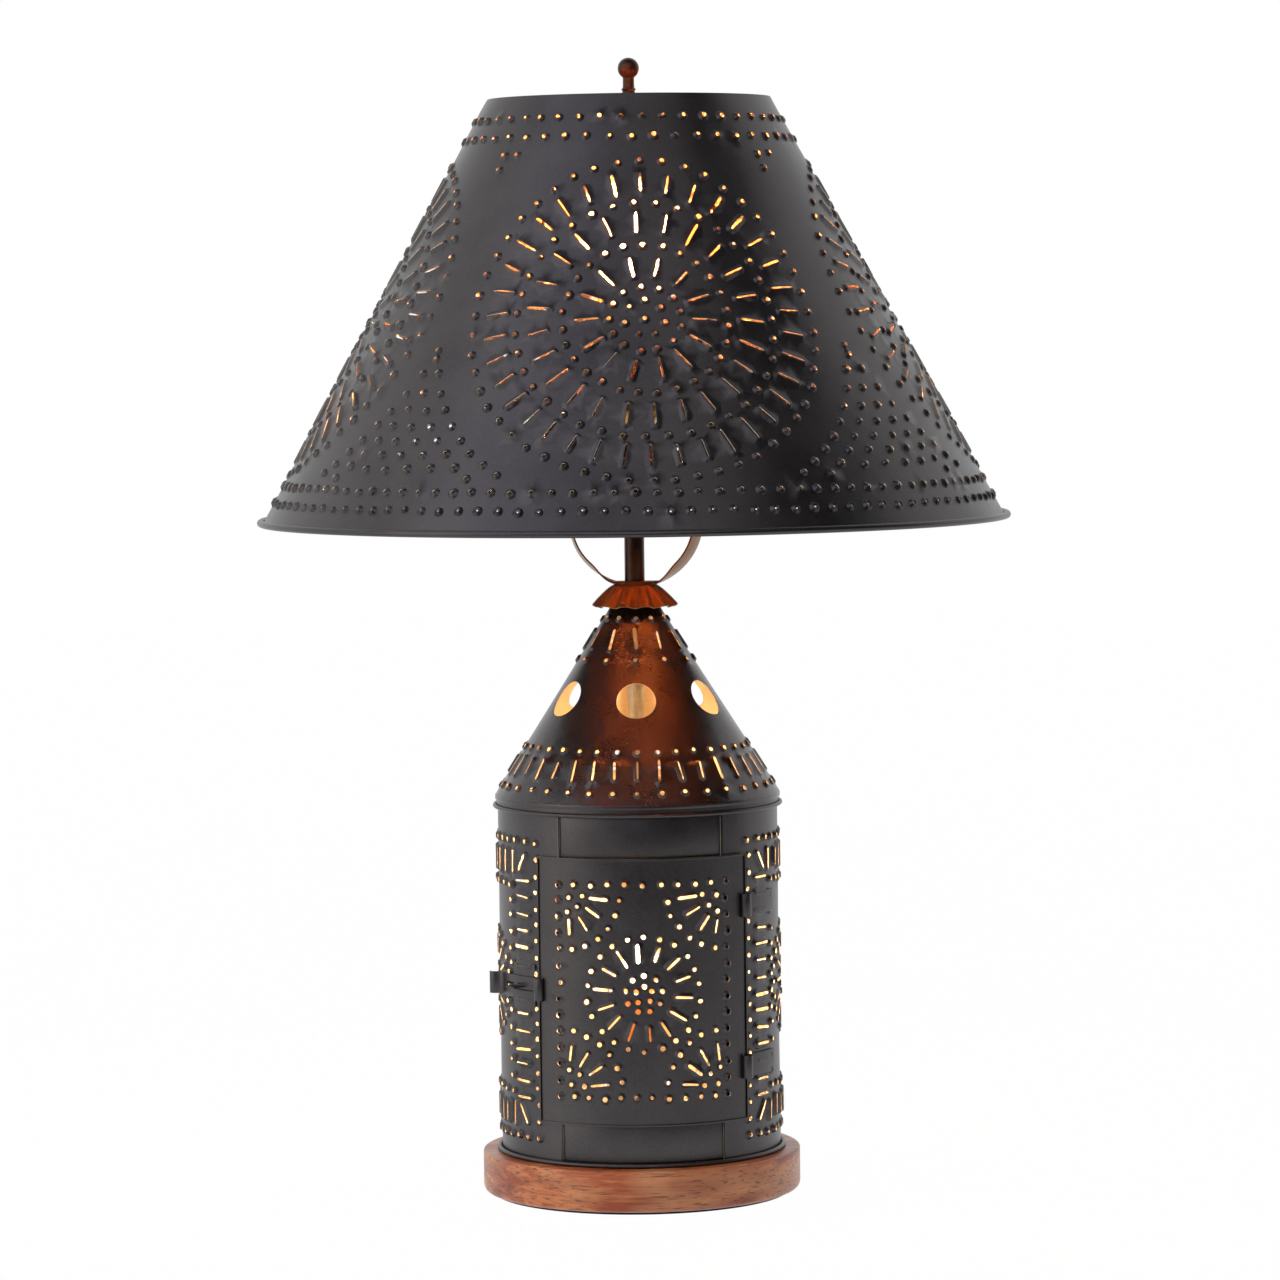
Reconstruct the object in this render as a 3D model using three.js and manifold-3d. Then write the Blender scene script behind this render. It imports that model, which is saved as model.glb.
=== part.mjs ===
// Punched-tin lantern table lamp: a round wooden base, a lantern body with a hinged door and a cone
// roof, a ring handle, and a wide cone shade on a harp. Millimetres, +Z up, the door faces -Y, and
// the origin is the centre of the underside.
import * as THREE from 'three';
import { mergeVertices } from 'three/addons/utils/BufferGeometryUtils.js';
import Module from 'manifold-3d';

const wasm = await Module();
wasm.setup();

// Sheet metal and clearances
const sheet = 0.6;
const seatGap = 0.2;
const stackGap = 0.05;
const boltGap = 0.25;
const runGap = 0.15;
const loopGap = 0.2;

// Wooden base, felt and the fasteners under it
const baseRadius = 91.5;
const woodHeight = 24;
const feltHeight = 1.5;
const feltInset = 6;
const baseFootRound = 5;
const baseTopRound = 1.5;
const recessRadius = 20;
const recessDepth = 12;
const cableHoleRadius = 4.4;
const cableHoleHeight = 10;
const bushingWall = 1.1;
const bushingFlange = 2;
const bushingFlangeWidth = 1.8;
const bushingLength = 31;
const washerRadius = 16;
const washerHeight = 1.5;
const nutFlats = 14;
const nutHeight = 4;

// Centre pipe
const rodRadius = 4.85;
const rodBore = 3.4;
const rodTail = 1.5;
const leadHoleRadius = 2.2;

// Lantern body
const shellRadius = 80.4;
const shellTop = 228;
const rimStandOut = 3;
const floorBead = 1.35;
const openingLeft = -33.5;
const openingRight = 35.5;
const bandLapAngle = 4.5;
const sillTop = 54;
const headBottom = 196;

// Door, its strap hinges and its hasp
const doorLeft = -43.8;
const doorRight = 47.2;
const doorBottom = 49.3;
const doorTop = 200.7;
const doorLift = 0.5;
const hingeStrip = 1.4;
const strapHeight = 13;
const strapEnd = 68.7;
const hingeHeights = { upper: 171.3, lower: 79.3 };
const slotPlay = 0.6;
const haspHeight = 12.6;
const haspStrip = 1.15;
const haspRingGap = 0.3;
const haspStrapEnd = -70;
const haspSlotRight = -46.8;
const haspSlotLeft = -66.6;
const haspSlotHeight = 3.6;
const haspFlareRadius = 4.5;
const haspFlareTurn = 80;
const haspLipRadius = 3;
const haspLipTurn = 90;
const staplePlate = { right: -47, left: -61.8, height: 27 };
const tongueAngle = -57.5;
const tongueWidth = 9;
const tongueReach = 6.7;

// Cone roof, collar and ring handle
const rimBead = 1.2;
const rimBeadTurn = 140;
const rimHeight = 7;
const rimBottom = 223.6;
const skirtHeight = 2.4;
const neckRadius = 10.2;
const capTop = 350.6;
const capPlateRadius = 12.6;
const capSkirtRadius = 24;
const capSkirtDrop = 11.6;
const capFlutes = 12;
const capFluteDepth = 1.5;
const ventAngles = [0, 59, 139, -139, -59];
const ventRadius = 11.35;
const ventHeight = 287;
const neckWasherMargin = 0.8;
const ringRadius = 37.7;
const ringThickness = 1;
const ringWidth = 13;
const ringSeatLength = 25;
const ringTurn = -9;

// Riser, harp and upper socket
const riserRadius = 5.75;
const riserAboveRing = 5.95;
const saddlePlate = 1.4;
const saddleWidth = 12;
const saddleReach = 33.5;
const saddleArm = 6.5;
const postHeight = 6;
const harpWire = 1.6;
const harpHeight = 189;
const harpBulge = 51;
const harpBlockRadius = 6.5;
const harpBlockHeight = 4;
const studRadius = 3.05;
const studHeight = 9;
const ferruleWall = 1.2;
const ferruleHeight = 12;
const socketNeckRadius = 7.5;
const socketNeckHeight = 4.5;
const socketCapRadius = 17;
const socketCapWall = 0.8;
const socketCapHeight = 23.5;
const socketHeight = 64;
const linerWall = 0.4;
const socketBore = 13.4;
const socketFloor = 41;
const knobHeight = 31;
const knobShaft = 1.6;
const knobRadius = 5.5;
const knobLength = 12;
const knobStandOff = 6;
const knobRidges = 10;

// Bulbs
const upperBase = { radius: 13.1, height: 25.5, tip: 4.5 };
const upperGlass = { radius: 30, height: 84, neck: 12.6, wall: 1, sides: 16 };
const nightBase = { radius: 5.95, height: 15.5, tip: 1.8 };
const nightGlass = { radius: 10.8, height: 37, neck: 5.6, wall: 0.8, sides: 12 };

// Night light on its bracket inside the lantern
const bracketHeight = 88;
const bracketPlate = 1.4;
const bracketWidth = 13;
const nightOffset = 32;
const nightSocketRadius = 10.5;
const nightSocketHeight = 32.5;
const nightSocketBore = 6.3;
const nightSocketFloor = 16.5;
const nightBoss = 3.5;
const nightBossLength = 7.5;
const nightBossBore = 1.7;
const leadRadius = 1.4;
const leadExitHeight = 64;

// Shade
const shadeRimRadius = 216;
const shadeTopRadius = 80.9;
const shadeHeight = 241.6;
const shadeAboveHarp = 7.75;
const curlRadius = 2;
const curlTurn = 300;
const curlWireGap = 0.2;
const hemHeight = 4;
const spiderPlate = 1.5;
const spiderHub = 13;
const spiderArmWidth = 8;
const spiderArms = 3;
const spiderEndGap = 0.35;

// Raised slots of the shade's pattern, in rings round four middles, one on each side
const roseAngles = [3, 93, 183, 273];
const roseShare = 0.518;
const roseRings = [
  { slots: 36, radius: 84.5, offset: 0 },
  { slots: 24, radius: 59.8, offset: 0.2 },
  { slots: 14, radius: 32, offset: 0.5 },
];
const slotLength = 16;
const slotWidth = 6.5;
const slotRise = 1.2;
const slotSink = 0.33;

// Finial
const finialHeight = 29.2;
const finialBall = 6.1;
const finialNeck = 3.2;
const finialFoot = 8.2;

// How finely each kind of round shape is divided
const bodySides = 60;
const plateSides = 40;
const smallSides = 20;
const fineSides = 12;
const loopSides = 16;

const deg = Math.PI / 180;

// One closed surface: corners shared, triangles of no area dropped, faces turned outwards.
function weld(geometry) {
  const bare = geometry.clone();
  bare.deleteAttribute('normal');
  bare.deleteAttribute('uv');
  const merged = mergeVertices(bare, 1e-4);
  const index = [];
  for (let i = 0; i < merged.index.count; i += 3) {
    const corners = [0, 1, 2].map((k) => merged.index.getX(i + k));
    if (new Set(corners).size === 3) index.push(...corners);
  }
  if (volumeOf(merged.attributes.position, index) < 0) index.reverse();
  merged.setIndex(index);
  return merged;
}

function volumeOf(position, index) {
  const [a, b, c] = [new THREE.Vector3(), new THREE.Vector3(), new THREE.Vector3()];
  let sum = 0;
  for (let i = 0; i < index.length; i += 3) {
    a.fromBufferAttribute(position, index[i]);
    b.fromBufferAttribute(position, index[i + 1]);
    c.fromBufferAttribute(position, index[i + 2]);
    sum += a.dot(b.cross(c));
  }
  return sum / 6;
}

function solid(geometry) {
  const closed = weld(geometry);
  const mesh = new wasm.Mesh({
    numProp: 3,
    vertProperties: new Float32Array(closed.attributes.position.array),
    triVerts: new Uint32Array(closed.index.array),
  });
  return new wasm.Manifold(mesh);
}

function surface(body) {
  const mesh = body.getMesh();
  const geometry = new THREE.BufferGeometry();
  geometry.setAttribute('position', new THREE.BufferAttribute(mesh.vertProperties, 3));
  geometry.setIndex(new THREE.BufferAttribute(mesh.triVerts, 1));
  return geometry;
}

function cut(geometry, ...tools) {
  return surface(tools.reduce((body, tool) => body.subtract(solid(tool)), solid(geometry)));
}

function join(...geometries) {
  return surface(wasm.Manifold.union(geometries.map(solid)));
}

// A profile of [radius, height] pairs turned about the Z axis. A profile that does not start and
// end on the axis is closed on itself.
function turned(profile, sides) {
  const points = profile.map(([r, z]) => new THREE.Vector2(r, z));
  const onAxis = points[0].x === 0 && points[points.length - 1].x === 0;
  if (!onAxis) points.push(points[0].clone());
  return new THREE.LatheGeometry(points, sides).rotateX(Math.PI / 2);
}

function tube(inner, outer, bottom, top, sides) {
  return turned([[inner, bottom], [outer, bottom], [outer, top], [inner, top]], sides);
}

function rod(radius, bottom, top, sides) {
  return turned([[0, bottom], [radius, bottom], [radius, top], [0, top]], sides);
}

function block(x0, x1, y0, y1, z0, z1) {
  const box = new THREE.BoxGeometry(x1 - x0, y1 - y0, z1 - z0);
  return box.translate((x0 + x1) / 2, (y0 + y1) / 2, (z0 + z1) / 2);
}

// A flat outline in X and Y carried up in Z.
function raised(points, bottom, top, holes = []) {
  const shape = new THREE.Shape(points);
  shape.holes = holes.map((hole) => new THREE.Path(hole));
  const body = new THREE.ExtrudeGeometry(shape, { depth: top - bottom, bevelEnabled: false });
  return body.translate(0, 0, bottom);
}

// Points on a circle from one angle to another, in degrees counted from +X towards +Y.
function arc(x, y, radius, from, to, steps) {
  return Array.from({ length: steps + 1 }, (_, i) => {
    const angle = (from + ((to - from) * i) / steps) * deg;
    return new THREE.Vector2(x + radius * Math.cos(angle), y + radius * Math.sin(angle));
  });
}

// Angles round the lantern are counted from its front, the -Y side, towards +X.
const fromFront = (angle) => angle - 90;

function polar(radius, angle) {
  return new THREE.Vector2(radius * Math.sin(angle * deg), -radius * Math.cos(angle * deg));
}

// A curved strip of sheet that follows the lantern's round wall.
function wallStrip(inner, outer, from, to, bottom, top, stepAngle = 4) {
  const steps = Math.max(2, Math.ceil((to - from) / stepAngle));
  const outline = [
    ...arc(0, 0, outer, fromFront(from), fromFront(to), steps),
    ...arc(0, 0, inner, fromFront(to), fromFront(from), steps),
  ];
  return raised(outline, bottom, top);
}

// A full circle as a closed outline, without its first point twice.
function circle(x, y, radius, sides) {
  return arc(x, y, radius, 0, 360 - 360 / sides, sides - 1);
}

function hexNut(bore, bottom, x = 0, y = 0) {
  const corner = nutFlats / 2 / Math.cos(30 * deg);
  const hole = circle(x, y, bore, smallSides).reverse();
  return raised(circle(x, y, corner, 6), bottom, bottom + nutHeight, [hole]);
}

// Heights of the stack on the centre pipe, from the table up
const woodTop = feltHeight + woodHeight;
const recessTop = feltHeight + recessDepth;
const washerBottom = recessTop - stackGap - washerHeight;
const baseNutBottom = washerBottom - stackGap - nutHeight;
const rodBottom = baseNutBottom - rodTail;
const floorBottom = woodTop + stackGap;
const floorTop = floorBottom + sheet;
const shellBottom = floorTop + stackGap;
const boltHole = rodRadius + boltGap;
const shellInner = shellRadius - sheet;
const rimRadius = shellRadius + rimStandOut;

function baseFelt() {
  return rod(baseRadius - feltInset, 0, feltHeight, plateSides);
}

function woodBase() {
  const foot = feltHeight + stackGap;
  const footArc = arc(baseRadius - baseFootRound, foot + baseFootRound, baseFootRound, -90, 0, 3);
  const topArc = arc(baseRadius - baseTopRound, woodTop - baseTopRound, baseTopRound, 0, 90, 2);
  const profile = [
    [boltHole, recessTop],
    [recessRadius, recessTop],
    [recessRadius, foot],
    ...footArc.map((p) => [p.x, p.y]),
    ...topArc.map((p) => [p.x, p.y]),
    [boltHole, woodTop],
  ];
  const run = baseRadius - recessRadius + 4;
  const channel = new THREE.CylinderGeometry(cableHoleRadius, cableHoleRadius, run, smallSides);
  channel.translate(0, (baseRadius + recessRadius) / 2, cableHoleHeight);
  return cut(turned(profile, plateSides), channel);
}

// A flanged sleeve that lines the cable's way out at the back of the base.
function cordBushing() {
  const outer = cableHoleRadius - seatGap;
  const inner = outer - bushingWall;
  const flange = cableHoleRadius + bushingFlangeWidth;
  const face = baseRadius + stackGap;
  const points = [
    [inner, face - bushingLength],
    [outer, face - bushingLength],
    [outer, face],
    [flange, face],
    [flange, face + bushingFlange],
    [inner, face + bushingFlange],
    [inner, face - bushingLength],
  ].map(([r, y]) => new THREE.Vector2(r, y));
  return new THREE.LatheGeometry(points, smallSides).translate(0, 0, cableHoleHeight);
}

function baseWasher() {
  return tube(boltHole, washerRadius, washerBottom, washerBottom + washerHeight, smallSides);
}

function centreRod() {
  const pipe = tube(rodBore, rodRadius, rodBottom, rodTop, smallSides);
  const hole = new THREE.CylinderGeometry(leadHoleRadius, leadHoleRadius, rodRadius * 2, 12);
  return cut(pipe, hole.translate(0, -rodRadius - rodBore / 2, leadExitHeight));
}

// The lantern's floor is a disc whose edge is rolled up into a bead outside the wall.
function lanternFloor() {
  const beadCentre = rimRadius - floorBead;
  const bead = arc(beadCentre, floorBottom + floorBead, floorBead, -90, 180, 4);
  const profile = [
    [boltHole, floorBottom],
    ...bead.map((p) => [p.x, p.y]),
    [beadCentre - floorBead, floorTop],
    [boltHole, floorTop],
  ];
  return turned(profile, bodySides);
}

function lanternShell() {
  return wallStrip(shellInner, shellRadius, openingRight, 360 + openingLeft, shellBottom, shellTop);
}

// A short strip behind the wall closes the opening above or below the door.
function openingBand(bottom, top) {
  const outer = shellInner - seatGap;
  const [from, to] = [openingLeft - bandLapAngle, openingRight + bandLapAngle];
  return wallStrip(outer - sheet, outer, from, to, bottom, top);
}

// Where the door stands, and the loop that its edge strip turns in. The loop is as small as
// lets the strip's far corner pass inside it with the running clearance.
const doorInner = shellRadius + seatGap + sheet + runGap + doorLift;
const doorOuter = doorInner + sheet;
const loopFor = (strip, gap) => {
  const drop = gap + sheet + shellRadius - doorInner;
  return (strip ** 2 + drop ** 2 - loopGap ** 2) / (2 * (-drop - loopGap));
};
const hingeLoop = loopFor(hingeStrip, seatGap);
const hingeRadius = shellRadius + seatGap + sheet + hingeLoop;
const hingeAngle = doorRight - hingeStrip / doorOuter / deg;
const haspLoop = loopFor(haspStrip, haspRingGap);
const haspRadius = shellRadius + haspRingGap + sheet + haspLoop;
const haspAngle = doorLeft + haspStrip / doorOuter / deg;
const doorMiddle = (doorBottom + doorTop) / 2;

// The slot that a loop passes through, as angles on the door from the loop's own angle.
function loopSlot(loop, axisRadius, strip) {
  const far = Math.sqrt((loop + sheet) ** 2 - (axisRadius - doorOuter) ** 2) + runGap;
  return [strip / doorInner / deg, far / doorInner / deg];
}

function doorPanel() {
  const panel = wallStrip(doorInner, doorOuter, doorLeft, doorRight, doorBottom, doorTop, 3.5);
  const slot = (near, far, middle, height) => {
    const [from, to] = [Math.min(near, far), Math.max(near, far)];
    const half = height / 2 + slotPlay;
    return wallStrip(doorInner - 2, doorOuter + 2, from, to, middle - half, middle + half);
  };
  const [hingeNear, hingeFar] = loopSlot(hingeLoop, hingeRadius, hingeStrip);
  const [haspNear, haspFar] = loopSlot(haspLoop, haspRadius, haspStrip);
  const slots = Object.values(hingeHeights).map((height) =>
    slot(hingeAngle - hingeNear, hingeAngle - hingeFar, height, strapHeight));
  slots.push(slot(haspAngle + haspNear, haspAngle + haspFar, doorMiddle, haspHeight));
  return cut(panel, ...slots);
}

// A strap folded double: a round loop at the door's edge, and both leaves laid on the wall.
function hingeStrap(middle) {
  const centre = polar(hingeRadius, hingeAngle);
  const [bottom, top] = [middle - strapHeight / 2, middle + strapHeight / 2];
  const loopOuter = circle(centre.x, centre.y, hingeLoop + sheet, loopSides);
  const loopInner = circle(centre.x, centre.y, hingeLoop, loopSides).reverse();
  const loop = raised(loopOuter, bottom, top, [loopInner]);
  const inner = shellRadius + seatGap;
  const leaf = wallStrip(inner, inner + 2 * sheet, leafStart(), strapEnd, bottom, top);
  return join(loop, leaf);
}

// The leaves start inside the loop's wall, where the loop comes down to the lantern's wall.
function leafStart() {
  const reach = hingeLoop + sheet / 2;
  const leafMiddle = shellRadius + seatGap + sheet;
  const across = (hingeRadius ** 2 + reach ** 2 - leafMiddle ** 2) / (2 * hingeRadius * reach);
  const side = reach * Math.sqrt(1 - across ** 2);
  return hingeAngle + side / hingeRadius / deg;
}

// A strip of one sheet's thickness along a path of points.
function bentStrip(path, bottom, top) {
  const side = (sign) => path.map((point, i) => {
    const before = path[Math.max(i - 1, 0)];
    const after = path[Math.min(i + 1, path.length - 1)];
    const along = after.clone().sub(before).normalize();
    return new THREE.Vector2(point.x - sign * along.y, point.y + sign * along.x)
      .sub(point).multiplyScalar(sheet / 2).add(point);
  });
  return raised([...side(1), ...side(-1).reverse()], bottom, top);
}

// The hasp: a closed ring through the door's slot, a slotted strap, and a curled finger lift.
function doorHasp() {
  const [bottom, top] = [doorMiddle - haspHeight / 2, doorMiddle + haspHeight / 2];
  const centre = polar(haspRadius, haspAngle);
  const ringOuter = circle(centre.x, centre.y, haspLoop + sheet, loopSides);
  const ringInner = circle(centre.x, centre.y, haspLoop, loopSides).reverse();
  const ring = raised(ringOuter, bottom, top, [ringInner]);
  const middle = (doorInner + doorOuter) / 2;
  const reach = haspLoop + sheet / 2;
  const start = haspAngle - Math.sqrt(reach ** 2 - (haspRadius - middle) ** 2) / middle / deg;
  const path = arc(0, 0, middle, fromFront(start), fromFront(haspStrapEnd), 9);
  const heading = fromFront(haspStrapEnd) - 90;
  const flareCentre = polar(middle + haspFlareRadius, haspStrapEnd);
  path.push(...arc(flareCentre.x, flareCentre.y, haspFlareRadius, heading - 90,
    heading - 90 + haspFlareTurn, 4).slice(1));
  const flareEnd = path[path.length - 1];
  const lipAngle = heading + haspFlareTurn - 90;
  const lipCentre = new THREE.Vector2(
    flareEnd.x + haspLipRadius * Math.cos(lipAngle * deg),
    flareEnd.y + haspLipRadius * Math.sin(lipAngle * deg),
  );
  path.push(...arc(lipCentre.x, lipCentre.y, haspLipRadius, lipAngle + 180,
    lipAngle + 180 - haspLipTurn, 4).slice(1));
  const slotHalf = haspSlotHeight / 2;
  const slot = wallStrip(doorInner - 1, doorOuter + 1, haspSlotLeft, haspSlotRight,
    doorMiddle - slotHalf, doorMiddle + slotHalf);
  return cut(join(ring, bentStrip(path, bottom, top)), slot);
}

// A plate on the wall under the hasp, with a flat tongue that stands out through the hasp's slot.
function haspStaple() {
  const inner = shellRadius + seatGap;
  const plate = wallStrip(inner, inner + sheet, staplePlate.left, staplePlate.right,
    doorMiddle - staplePlate.height / 2, doorMiddle + staplePlate.height / 2);
  const tongue = block(-tongueWidth / 2, tongueWidth / 2, -inner - sheet - tongueReach,
    -inner - sheet / 2, doorMiddle - sheet / 2, doorMiddle + sheet / 2);
  return join(plate, tongue.rotateZ(tongueAngle * deg));
}

// The rim is a band round the top of the wall with a rolled bead along its lower edge.
function roofRim() {
  const inner = shellRadius + seatGap;
  const beadCentre = rimRadius - rimBead;
  const bead = arc(beadCentre, rimBottom + rimBead, rimBead, -rimBeadTurn, rimBeadTurn, 4);
  const profile = [
    [inner, rimBottom],
    ...bead.map((p) => [p.x, p.y]),
    [inner + sheet, rimBottom + rimHeight],
    [inner, rimBottom + rimHeight],
  ];
  return turned(profile, bodySides);
}

// The roof's skirt hangs outside the rim, and its cone ends under the neck washer.
const roofBase = shellRadius + seatGap + sheet + seatGap + sheet;
const skirtTop = rimBottom + rimHeight + seatGap;
const capUnder = capTop - sheet;
const neckNutBottom = capUnder - stackGap - nutHeight;
const neckWasherBottom = neckNutBottom - stackGap - washerHeight;
const neckTop = neckWasherBottom - stackGap;
const roofSlope = (roofBase - neckRadius) / (neckTop - skirtTop);
const roofRadius = (height) => roofBase - roofSlope * (height - skirtTop);

function coneRoof() {
  const across = sheet * Math.hypot(1, roofSlope);
  const profile = [
    [roofBase - sheet, skirtTop - skirtHeight],
    [roofBase, skirtTop - skirtHeight],
    [roofBase, skirtTop],
    [neckRadius, neckTop],
    [neckRadius - across, neckTop],
    [roofBase - sheet, skirtTop - (across - sheet) / roofSlope],
  ];
  const tilt = Math.atan(roofSlope);
  const vents = ventAngles.map((angle) => {
    const hole = new THREE.CylinderGeometry(ventRadius, ventRadius, 14, loopSides);
    hole.rotateX(-tilt);
    hole.translate(0, -roofRadius(ventHeight), ventHeight);
    return hole.rotateZ(angle * deg);
  });
  return cut(turned(profile, bodySides), ...vents);
}

function neckWasher() {
  return tube(boltHole, neckRadius + neckWasherMargin, neckWasherBottom,
    neckWasherBottom + washerHeight, smallSides);
}

// The collar: a flat plate whose edge turns down into a skirt of soft flutes. A ring of points
// follows the section round the axis, and the flutes deepen towards the skirt's lower edge.
function scallopedCap() {
  const fall = (t, inset) => {
    const radius = capPlateRadius + (capSkirtRadius - capPlateRadius) * t;
    const height = capTop - capSkirtDrop * t ** 1.25;
    return [radius - inset * 0.7, height - inset, t];
  };
  const section = [
    [boltHole, capTop, 0],
    ...[0, 0.33, 0.67, 1].map((t) => fall(t, 0)),
    ...[1, 0.5, 0].map((t) => fall(t, sheet)),
    [boltHole, capUnder, 0],
  ];
  const around = capFlutes * 5;
  const positions = [];
  for (let i = 0; i < around; i += 1) {
    const angle = (i / around) * 2 * Math.PI;
    const wave = capFluteDepth * Math.cos(capFlutes * angle);
    for (const [radius, height, depth] of section) {
      const r = radius + wave * depth;
      positions.push(r * Math.cos(angle), r * Math.sin(angle), height + 0.4 * wave * depth);
    }
  }
  const rows = section.length;
  const index = [];
  for (let i = 0; i < around; i += 1) {
    for (let j = 0; j < rows; j += 1) {
      const here = i * rows + j;
      const up = i * rows + ((j + 1) % rows);
      const next = ((i + 1) % around) * rows + j;
      const nextUp = ((i + 1) % around) * rows + ((j + 1) % rows);
      index.push(here, next, nextUp, here, nextUp, up);
    }
  }
  const geometry = new THREE.BufferGeometry();
  geometry.setAttribute('position', new THREE.Float32BufferAttribute(positions, 3));
  geometry.setIndex(index);
  return geometry;
}

// The ring handle: a strip bent to a circle, its two ends lapped flat where the pipe goes through.
const ringBottom = capTop + stackGap;
const ringCentre = ringBottom + ringRadius;
const seatTop = ringBottom + 2 * ringThickness;
const riserTop = ringBottom + 2 * ringRadius + riserAboveRing;

function ringHandle() {
  const half = ringWidth / 2;
  const profile = [
    [ringRadius - ringThickness, -half],
    [ringRadius, -half],
    [ringRadius, half],
    [ringRadius - ringThickness, half],
    [ringRadius - ringThickness, -half],
  ].map(([r, y]) => new THREE.Vector2(r, y));
  const hoop = new THREE.LatheGeometry(profile, plateSides).translate(0, 0, ringCentre);
  const reach = ringSeatLength / 2;
  const seat = block(-reach, reach, -half, half, ringBottom, seatTop);
  const clearance = block(-reach, reach, -half - 1, half + 1, ringBottom - 2, ringBottom);
  const foot = rod(boltHole, ringBottom - 1, seatTop + 1, smallSides);
  const crown = rod(riserRadius + boltGap, ringCentre, ringCentre + ringRadius + 1, smallSides);
  return cut(join(hoop, seat), clearance, foot, crown).rotateZ(ringTurn * deg);
}

const riserBottom = seatTop + stackGap;
const saddleBottom = riserTop + stackGap;
const saddleTop = saddleBottom + saddlePlate;
const armTop = saddleTop + saddleArm;
const postTop = armTop + postHeight;
const wireBottom = postTop + seatGap;
const harpTop = saddleBottom + harpHeight;

function riserTube() {
  return tube(boltHole, riserRadius, riserBottom, riserTop, smallSides);
}

// The saddle: a flat bar with both ends turned up, and a post on each end for the harp.
function harpSaddle() {
  const half = saddleWidth / 2;
  const end = saddleReach + saddlePlate / 2;
  const bar = block(-end, end, -half, half, saddleBottom, saddleTop);
  const parts = [-1, 1].flatMap((sign) => {
    const middle = sign * saddleReach;
    const post = rod(harpWire, armTop - 1, postTop, fineSides).translate(middle, 0, 0);
    const edge = saddlePlate / 2;
    return [block(middle - edge, middle + edge, -half, half, saddleBottom, armTop), post];
  });
  return cut(join(bar, ...parts), rod(boltHole, saddleBottom - 1, saddleTop + 1, smallSides));
}

// The harp: a bent wire that stands on the saddle's posts, with a threaded stud on its crown.
function harp() {
  const at = (x, z) => new THREE.Vector3(x, 0, z);
  const straight = ferruleHeight * 2;
  const crown = harpTop - harpBlockHeight / 2;
  const right = [
    at(saddleReach, wireBottom),
    at(saddleReach, wireBottom + straight / 2),
    at(saddleReach, wireBottom + straight),
    at(harpBulge - 2, wireBottom + (crown - wireBottom) * 0.42),
    at(harpBulge, wireBottom + (crown - wireBottom) * 0.6),
    at(harpBulge * 0.72, wireBottom + (crown - wireBottom) * 0.86),
    at(harpBulge * 0.3, crown - 1.6),
  ];
  const left = right.map((point) => at(-point.x, point.z)).reverse();
  const path = new THREE.CatmullRomCurve3([...right, at(0, crown), ...left]);
  const section = new THREE.Shape(circle(0, 0, harpWire, 6));
  const wire = new THREE.ExtrudeGeometry(section, { steps: 40, extrudePath: path });
  const head = rod(harpBlockRadius, harpTop - harpBlockHeight, harpTop, smallSides);
  const stud = rod(studRadius, harpTop - 1, harpTop + studHeight, fineSides);
  return join(wire, head, stud);
}

function harpFerrule(sign) {
  const bore = harpWire + 2 * runGap;
  const bottom = armTop + stackGap;
  const sleeve = tube(bore, bore + ferruleWall, bottom, bottom + ferruleHeight, fineSides);
  return sleeve.translate(sign * saddleReach, 0, 0);
}

// Upper socket, on the top of the pipe above the saddle
const socketBottom = saddleTop + stackGap;
const rodTop = socketBottom + socketNeckHeight - 1;
const capRim = socketBottom + socketCapHeight;
const shellOuter = socketCapRadius - socketCapWall - seatGap;
const shellInnerFace = shellOuter - sheet;
const linerOuter = shellInnerFace - seatGap;
const coreRadius = linerOuter - linerWall - seatGap;
const socketTop = socketBottom + socketHeight;
const socketSleeveBottom = capRim - 4;
const knobAxis = socketBottom + knobHeight;
const shaftHole = knobShaft + boltGap;

function socketCap() {
  const wall = socketCapWall;
  const profile = [
    [boltHole, socketBottom],
    [socketNeckRadius, socketBottom],
    [socketNeckRadius, socketBottom + socketNeckHeight],
    [socketCapRadius * 0.72, socketBottom + socketCapHeight * 0.34],
    [socketCapRadius * 0.95, socketBottom + socketCapHeight * 0.58],
    [socketCapRadius, capRim - 6],
    [socketCapRadius, capRim],
    [socketCapRadius - wall, capRim],
    [socketCapRadius - wall, capRim - 6],
    [socketCapRadius * 0.95 - wall, socketBottom + socketCapHeight * 0.6],
    [socketCapRadius * 0.72 - wall, socketBottom + socketCapHeight * 0.38],
    [boltHole, socketBottom + socketNeckHeight + wall],
  ];
  return turned(profile, smallSides);
}

function shaftBore() {
  const bore = new THREE.CylinderGeometry(shaftHole, shaftHole, socketCapRadius, 12);
  return bore.translate(0, -socketCapRadius, knobAxis);
}

function socketShell() {
  const sleeve = tube(shellInnerFace, shellOuter, socketSleeveBottom, socketTop - 2, smallSides);
  return cut(sleeve, shaftBore());
}

function socketLiner() {
  const sleeve = tube(linerOuter - linerWall, linerOuter, socketSleeveBottom, socketTop, smallSides);
  return cut(sleeve, shaftBore());
}

// The insulating core, bored from the top for the bulb's base.
function socketCore() {
  const floor = socketBottom + socketFloor;
  const profile = [
    [0, floor],
    [socketBore, floor],
    [socketBore, socketTop - 3],
    [coreRadius, socketTop - 3],
    [coreRadius, socketSleeveBottom + 1],
    [0, socketSleeveBottom + 1],
  ];
  return turned(profile, smallSides);
}

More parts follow.
